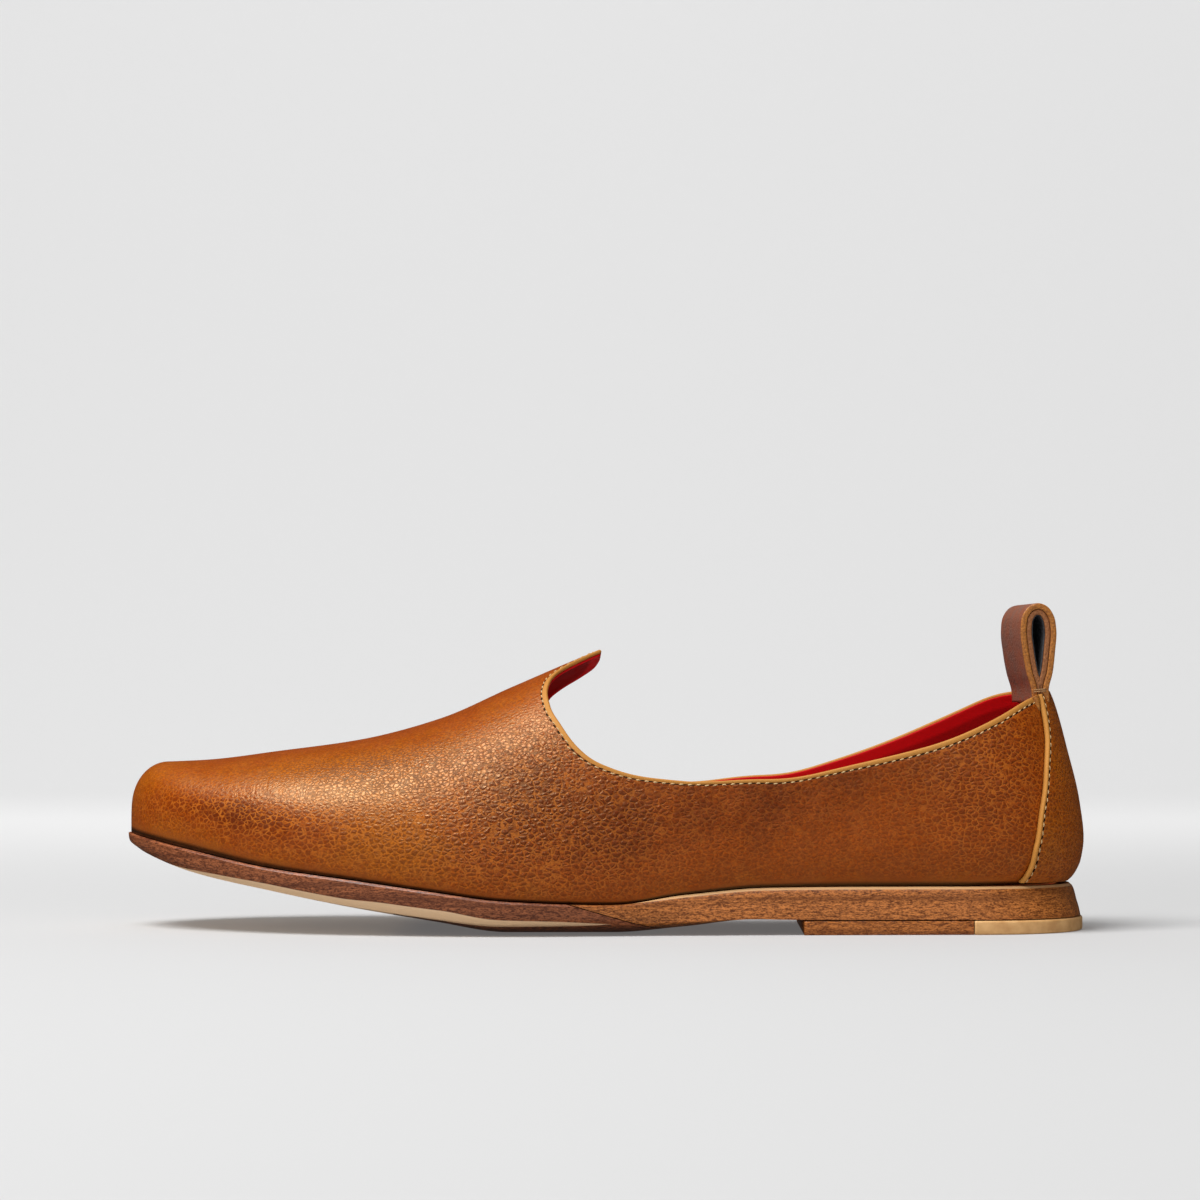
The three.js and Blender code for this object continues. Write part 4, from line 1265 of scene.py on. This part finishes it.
def grain_leather(name):
    """Pebbled leather that reads its fields from its mesh."""
    look = {"IOR": 1.5, "Specular IOR Level": LEATHER_SHINE, "Specular Tint": "#ffdfa6"}
    material, tree, shader = new_material(name, look)
    place, bent = leather_space(tree)
    read, cell = leather_fields(tree), leather_cells(tree, bent)
    holes = stitch_holes(tree, read)
    colour = leather_colour(tree, place, read, cell, holes)
    gloss = leather_gloss(tree, place, read, cell, holes)
    height = leather_relief(tree, place, bent, read, cell, holes)
    normal = add(tree, "Bump", {"Height": height, "Strength": 1.0, "Distance": RELIEF})
    fill(tree, shader, {"Base Color": colour, "Roughness": gloss, "Normal": normal})
    return material


dress(grain_leather("cognac pebbled leather"), upper, counter)

# %% [markdown]
# ## Strap, lining and thread
# The loop's plies show their cut edges: paler and fibrous, with a dark line between them. The lining is a
# satin red leather, bright along the facing strip behind the topline and painted a deeper red further down
# as the shade inside the shoe. Thread is waxed linen, and the loop's inside is a dull slate felt that
# swallows light.

# %% Kinds of material for strap, lining and thread
STRIP_TO = 4.0


def strap_leather(name, face, rim):
    """Leather with a darker worn face and a paler cut edge, told apart by the mesh's rim field."""
    material, tree, shader = new_material(name, {"Roughness": 0.46, "IOR": 1.5})
    place, bent = leather_space(tree)
    wall = add(tree, "TexVoronoi", {"Vector": bent, "Scale": 1 / FINE_PEBBLE}, "Distance", **CELL_WALLS)
    pebble = add(tree, "MapRange", {0: wall, 1: 0.0, 2: 0.3}, **SMOOTH)
    wear = add(tree, "TexNoise", {"Vector": place, "Scale": 260, "Detail": 4.0})
    wear = add(tree, "MapRange", {0: wear, 1: 0.3, 2: 0.7, 3: 0.0, 4: 0.4}, **SMOOTH)
    worn = add(tree, "Mix", {SHARE: wear, FIRST: face, SECOND: COGNAC}, **COLOURS)
    fibre = add(tree, "TexNoise", {"Vector": place, "Scale": 1500, "Detail": 4.0})
    fibre_share = add(tree, "MapRange", {0: fibre, 1: 0.35, 2: 0.65, 3: 0.0, 4: 0.6}, **SMOOTH)
    fibres = add(tree, "Mix", {SHARE: fibre_share, FIRST: rim, SECOND: RIM_BROWN}, **COLOURS)
    on_rim = add(tree, "Attribute", {}, "Fac", attribute_name="rim")
    colour = add(tree, "Mix", {SHARE: on_rim, FIRST: worn, SECOND: fibres}, **COLOURS)
    height = add(tree, "Math", {0: pebble, 1: fibre}, **PLUS)
    normal = add(tree, "Bump", {"Height": height, "Strength": 0.6, "Distance": 0.12 * MM})
    fill(tree, shader, {"Base Color": colour, "Normal": normal})
    return material


def fine_surface(name, colour, other, scale, depth, look):
    """Two close colours mixed by fine noise, with a matching fine relief."""
    material, tree, shader = new_material(name, look)
    place = add(tree, "TexCoord", {}, "Object")
    speckle = add(tree, "TexNoise", {"Vector": place, "Scale": scale, "Detail": 4.0})
    share = add(tree, "MapRange", {0: speckle, 1: 0.3, 2: 0.7}, **SMOOTH)
    mixed = add(tree, "Mix", {SHARE: share, FIRST: colour, SECOND: other}, **COLOURS)
    normal = add(tree, "Bump", {"Height": speckle, "Strength": 0.5, "Distance": depth})
    fill(tree, shader, {"Base Color": mixed, "Normal": normal})
    return material


def lining_leather(name, strip, shaded_red):
    """Red leather: a brighter strip behind the topline, and below it a deeper red painted as the shade
    inside the shoe.
    """
    material, tree, shader = new_material(name, {"Roughness": 0.55, "Specular IOR Level": 0.15})
    place = add(tree, "TexCoord", {}, "Object")
    pores = add(tree, "TexNoise", {"Vector": place, "Scale": 900, "Detail": 4.0})
    edge = add(tree, "Attribute", {}, "Fac", attribute_name="edge")
    share = add(tree, "MapRange", {0: edge, 1: STRIP_TO - 1, 2: STRIP_TO + 1}, **SMOOTH)
    colour = add(tree, "Mix", {SHARE: share, FIRST: strip, SECOND: shaded_red}, **COLOURS)
    normal = add(tree, "Bump", {"Height": pores, "Strength": 0.5, "Distance": 0.1 * MM})
    fill(tree, shader, {"Base Color": colour, "Normal": normal})
    return material


print("bright strip of the lining in mm:", STRIP_TO)

# %% [markdown]
# Each piece then gets its own pair of colours. The thread's noise is finest, so that it reads as twisted
# fibres.

# %% Loop, lining and thread
THREAD_TWIST, THREAD_RELIEF = 3000, 0.06 * MM
# The second red is the deeper one further inside: painted shade of the shoe's inside.
RED_STRIP, RED_IN_SHADE = "#c80c12", "#980709"
linen_colours, brown_colours = ("#dcbe8a", "#b8945f"), ("#b98f60", "#8a6238")
slate_felt = fine_surface("slate felt", "#4b4c50", "#2f3033", 1400, 0.3 * MM, {"Roughness": 0.85})
linen = fine_surface("waxed linen thread", *linen_colours, THREAD_TWIST, THREAD_RELIEF, {"Roughness": 0.55})
brown = fine_surface("brown thread", *brown_colours, THREAD_TWIST, THREAD_RELIEF, {"Roughness": 0.6})
dress(strap_leather("strap leather outer", "#80594a", "#b8742c"), loop_outer, *neck_tabs)
dress(strap_leather("strap leather inner", "#6c4c3c", "#a0663a"), loop_inner)
dress(lining_leather("red lining leather", RED_STRIP, RED_IN_SHADE), lining)
dress(lining_leather("red insole leather", RED_STRIP, RED_IN_SHADE), insole)
dress(slate_felt, loop_slate)
dress(linen, *threads)
dress(brown, *neck_threads)

# %% [markdown]
# ## Sole leather and rubber
# Sole leather is pressed hard, so its cut edge shows fibres and layers as fine level streaks under wax.
# The forefoot's edge is inked dark down to a natural bevel. The rear is stacked from brown layers, and
# the heel's last part is pale crepe rubber, softer and duller.

# %% Sole materials
# How often the noise changes along and up the edge, per metre: two sizes of fibres, then the layers.
STREAKS = ((520, 2500), (1500, 3800), (12, 520))


def waxed_edge(name, dark, light, natural_and_highlight, look):
    """Edge of sole leather: streaked fibres, and a paler colour where the mesh's field of natural leather
    and painted highlight is over zero.
    """
    material, tree, shader = new_material(name, look)
    place = add(tree, "TexCoord", {}, "Object")
    streaks = []
    for along, up in STREAKS:
        drawn = add(tree, "VectorMath", {0: place, 1: (along, along, up)}, **TIMES)
        streaks.append(add(tree, "TexNoise", {"Vector": drawn, "Scale": 1.0, "Detail": 5.0}))
    fibres = add(tree, "Math", {0: streaks[0], 1: streaks[1]}, **PLUS)
    light_share = add(tree, "MapRange", {0: fibres, 1: 0.75, 2: 1.25}, **SMOOTH)
    colour = add(tree, "Mix", {SHARE: light_share, FIRST: dark, SECOND: light}, **COLOURS)
    layers = add(tree, "MapRange", {0: streaks[2], 1: 0.5, 2: 0.66, 3: 0.0, 4: 0.5}, **SMOOTH)
    colour = add(tree, "Mix", {SHARE: layers, FIRST: colour, SECOND: dark}, **COLOURS)
    natural = add(tree, "Attribute", {}, "Fac", attribute_name="natural_and_highlight")
    natural = add(tree, "MapRange", {0: natural, 1: -0.12, 2: 0.12}, **SMOOTH)
    colour = add(tree, "Mix", {SHARE: natural, FIRST: colour, SECOND: natural_and_highlight}, **COLOURS)
    normal = add(tree, "Bump", {"Height": fibres, "Strength": 0.8, "Distance": 0.1 * MM})
    fill(tree, shader, {"Base Color": colour, "Normal": normal})
    return material


INK = {"Roughness": 0.42, "Coat Weight": 0.08, "Coat Roughness": 0.3}
WAX = {"Roughness": 0.36, "Coat Weight": 0.12, "Coat Roughness": 0.25}
dress(waxed_edge("inked sole edge", "#562814", "#a86138", "#e6c096", INK), outsole)
# The last colour is the paler one: natural leather on the outsole, the lip's painted highlight on the rear.
dress(waxed_edge("stacked sole leather", "#62300d", "#c67838", "#d9aa76", WAX), rear_sole)
dress(waxed_edge("stacked lift leather", "#65300c", "#c87834", "#d9aa76", WAX), heel_lift)
crepe = fine_surface("pale crepe rubber", "#e0b074", "#ca965c", 240, 0.06 * MM, {"Roughness": 0.5})
dress(crepe, heel_rubber)

# %% [markdown]
# ## Studio
# A sweep of pale paper under one large soft box above the front left, as in a product studio. The paper
# glows a little, more so away from the shoe, which stands in for the lamps that wash a studio wall.
# Mirror rays don't see it, so that it lays no haze on the waxed leather.

# %% Sweep
SWEEP_HALF_WIDTH, SWEEP_FLAT, SWEEP_RADIUS, SWEEP_HEIGHT = 3.0, 1.6, 0.9, 3.0
# NEAR_GLOW makes the paper glow under and around the shoe too, which lightens the shoe's cast shadow;
# FRONT_GLOW lets the paper in front light the shoe's walls.
PAPER_GLOW, FRONT_GLOW, NEAR_GLOW = 0.47, 0.75, 0.24
GLOW_BEHIND, GLOW_IN_FRONT = (0.05, 1.1), (0.7, 1.7)


def sweep_grid():
    """Floor between two quarters of a circle and two walls, as a profile carried sideways, in metres."""
    turn = np.linspace(0, np.pi / 2, 24)
    floor_y = np.linspace(-SWEEP_FLAT, SWEEP_FLAT, 81)
    wall_z = np.linspace(SWEEP_RADIUS, SWEEP_HEIGHT, 20)
    bend_y, bend_z = SWEEP_FLAT + SWEEP_RADIUS * np.sin(turn), SWEEP_RADIUS * (1 - np.cos(turn))
    rise_y = np.concatenate([bend_y[1:-1], 0 * wall_z + SWEEP_FLAT + SWEEP_RADIUS])
    rise_z = np.concatenate([bend_z[1:-1], wall_z])
    y = np.concatenate([-rise_y[::-1], floor_y, rise_y])[None, :]
    z = np.concatenate([rise_z[::-1], 0 * floor_y, rise_z])[None, :]
    x = np.linspace(-SWEEP_HALF_WIDTH, SWEEP_HALF_WIDTH, 61)[:, None]
    return np.stack([x + 0 * y, y + 0 * x, z + 0 * x], axis=-1)


sweep_points = sweep_grid()
sweep_mesh = bpy.data.meshes.new("paper_sweep")
sweep_quads = grid_quads(*sweep_points.shape[:2], False, False)
sweep_mesh.from_pydata(sweep_points.reshape(-1, 3).tolist(), [], sweep_quads.tolist())
sweep_mesh.shade_smooth()
behind = sweep_points[..., 1]
lit = smoothstep(behind, *GLOW_BEHIND)
far = lit + NEAR_GLOW * (1 - lit) + FRONT_GLOW * smoothstep(-behind, *GLOW_IN_FRONT)
far_layer = sweep_mesh.attributes.new("far", "FLOAT", "POINT")
far_layer.data.foreach_set("value", far.astype(np.float32).ravel())
sweep = bpy.data.objects.new("paper_sweep", sweep_mesh)
bpy.context.scene.collection.objects.link(sweep)
sweep.visible_glossy = False
PAPER = {"Base Color": "#b6b6b6", "Roughness": 0.95, "Specular IOR Level": 0.1, "Emission Color": "#ffffff"}
paper, paper_tree, paper_shader = new_material("pale paper", PAPER)
glow = add(paper_tree, "Attribute", {}, "Fac", attribute_name="far")
glow = add(paper_tree, "Math", {0: glow, 1: PAPER_GLOW}, **TIMES)
fill(paper_tree, paper_shader, {"Emission Strength": glow})
dress(paper, sweep)

# %% [markdown]
# The large soft box gives the rounded vamp a broad highlight, while the upright walls stay deep in
# colour. A weak second box overhead only fills in. A long lens about a metre away stands at the height of
# the collar.

# %% Lights and camera


def area_light(name, place, target, size, power, mirrored=True):
    """A square soft box at a place in metres, aimed at a target. A box that isn't mirrored only fills in
    colour, as one behind a polarising sheet does."""
    light = bpy.data.lights.new(name, "AREA")
    light.size = size
    light.energy = power
    lamp = bpy.data.objects.new(name, light)
    lamp.location = place
    lamp.rotation_euler = (Vector(target) - Vector(place)).to_track_quat("-Z", "Y").to_euler()
    lamp.visible_glossy = mirrored
    bpy.context.scene.collection.objects.link(lamp)


area_light("key_box", (-0.66, -0.62, 1.9), (-0.04, 0, 0.04), size=1.1, power=56)
area_light("top_box", (0.0, 0.15, 1.1), (0, 0, 0), size=0.8, power=2.0, mirrored=False)
ROOM_LIGHT = 0.02
world = bpy.data.worlds.new("studio_white")
world.use_nodes = True
fill(world.node_tree, world.node_tree.nodes["Background"], {"Color": "#ffffff", "Strength": ROOM_LIGHT})
bpy.context.scene.world = world
bpy.context.scene.view_settings.view_transform = "Standard"

CAMERA_PLACE, CAMERA_AIM = Vector((0.022, -1.1, 0.070)), Vector((-0.0008, 0.0, 0.1012))
FRAME_WIDTH, SENSOR = 0.372, 36.0
camera_data = bpy.data.cameras.new("studio_camera")
camera_data.sensor_width = SENSOR
camera_data.lens = SENSOR * abs(CAMERA_PLACE.y) / FRAME_WIDTH
camera = bpy.data.objects.new("studio_camera", camera_data)
camera.location = CAMERA_PLACE
camera.rotation_euler = (CAMERA_AIM - CAMERA_PLACE).to_track_quat("-Z", "Y").to_euler()
bpy.context.scene.collection.objects.link(camera)
bpy.context.scene.camera = camera
print("lens in mm:", round(camera_data.lens, 1))
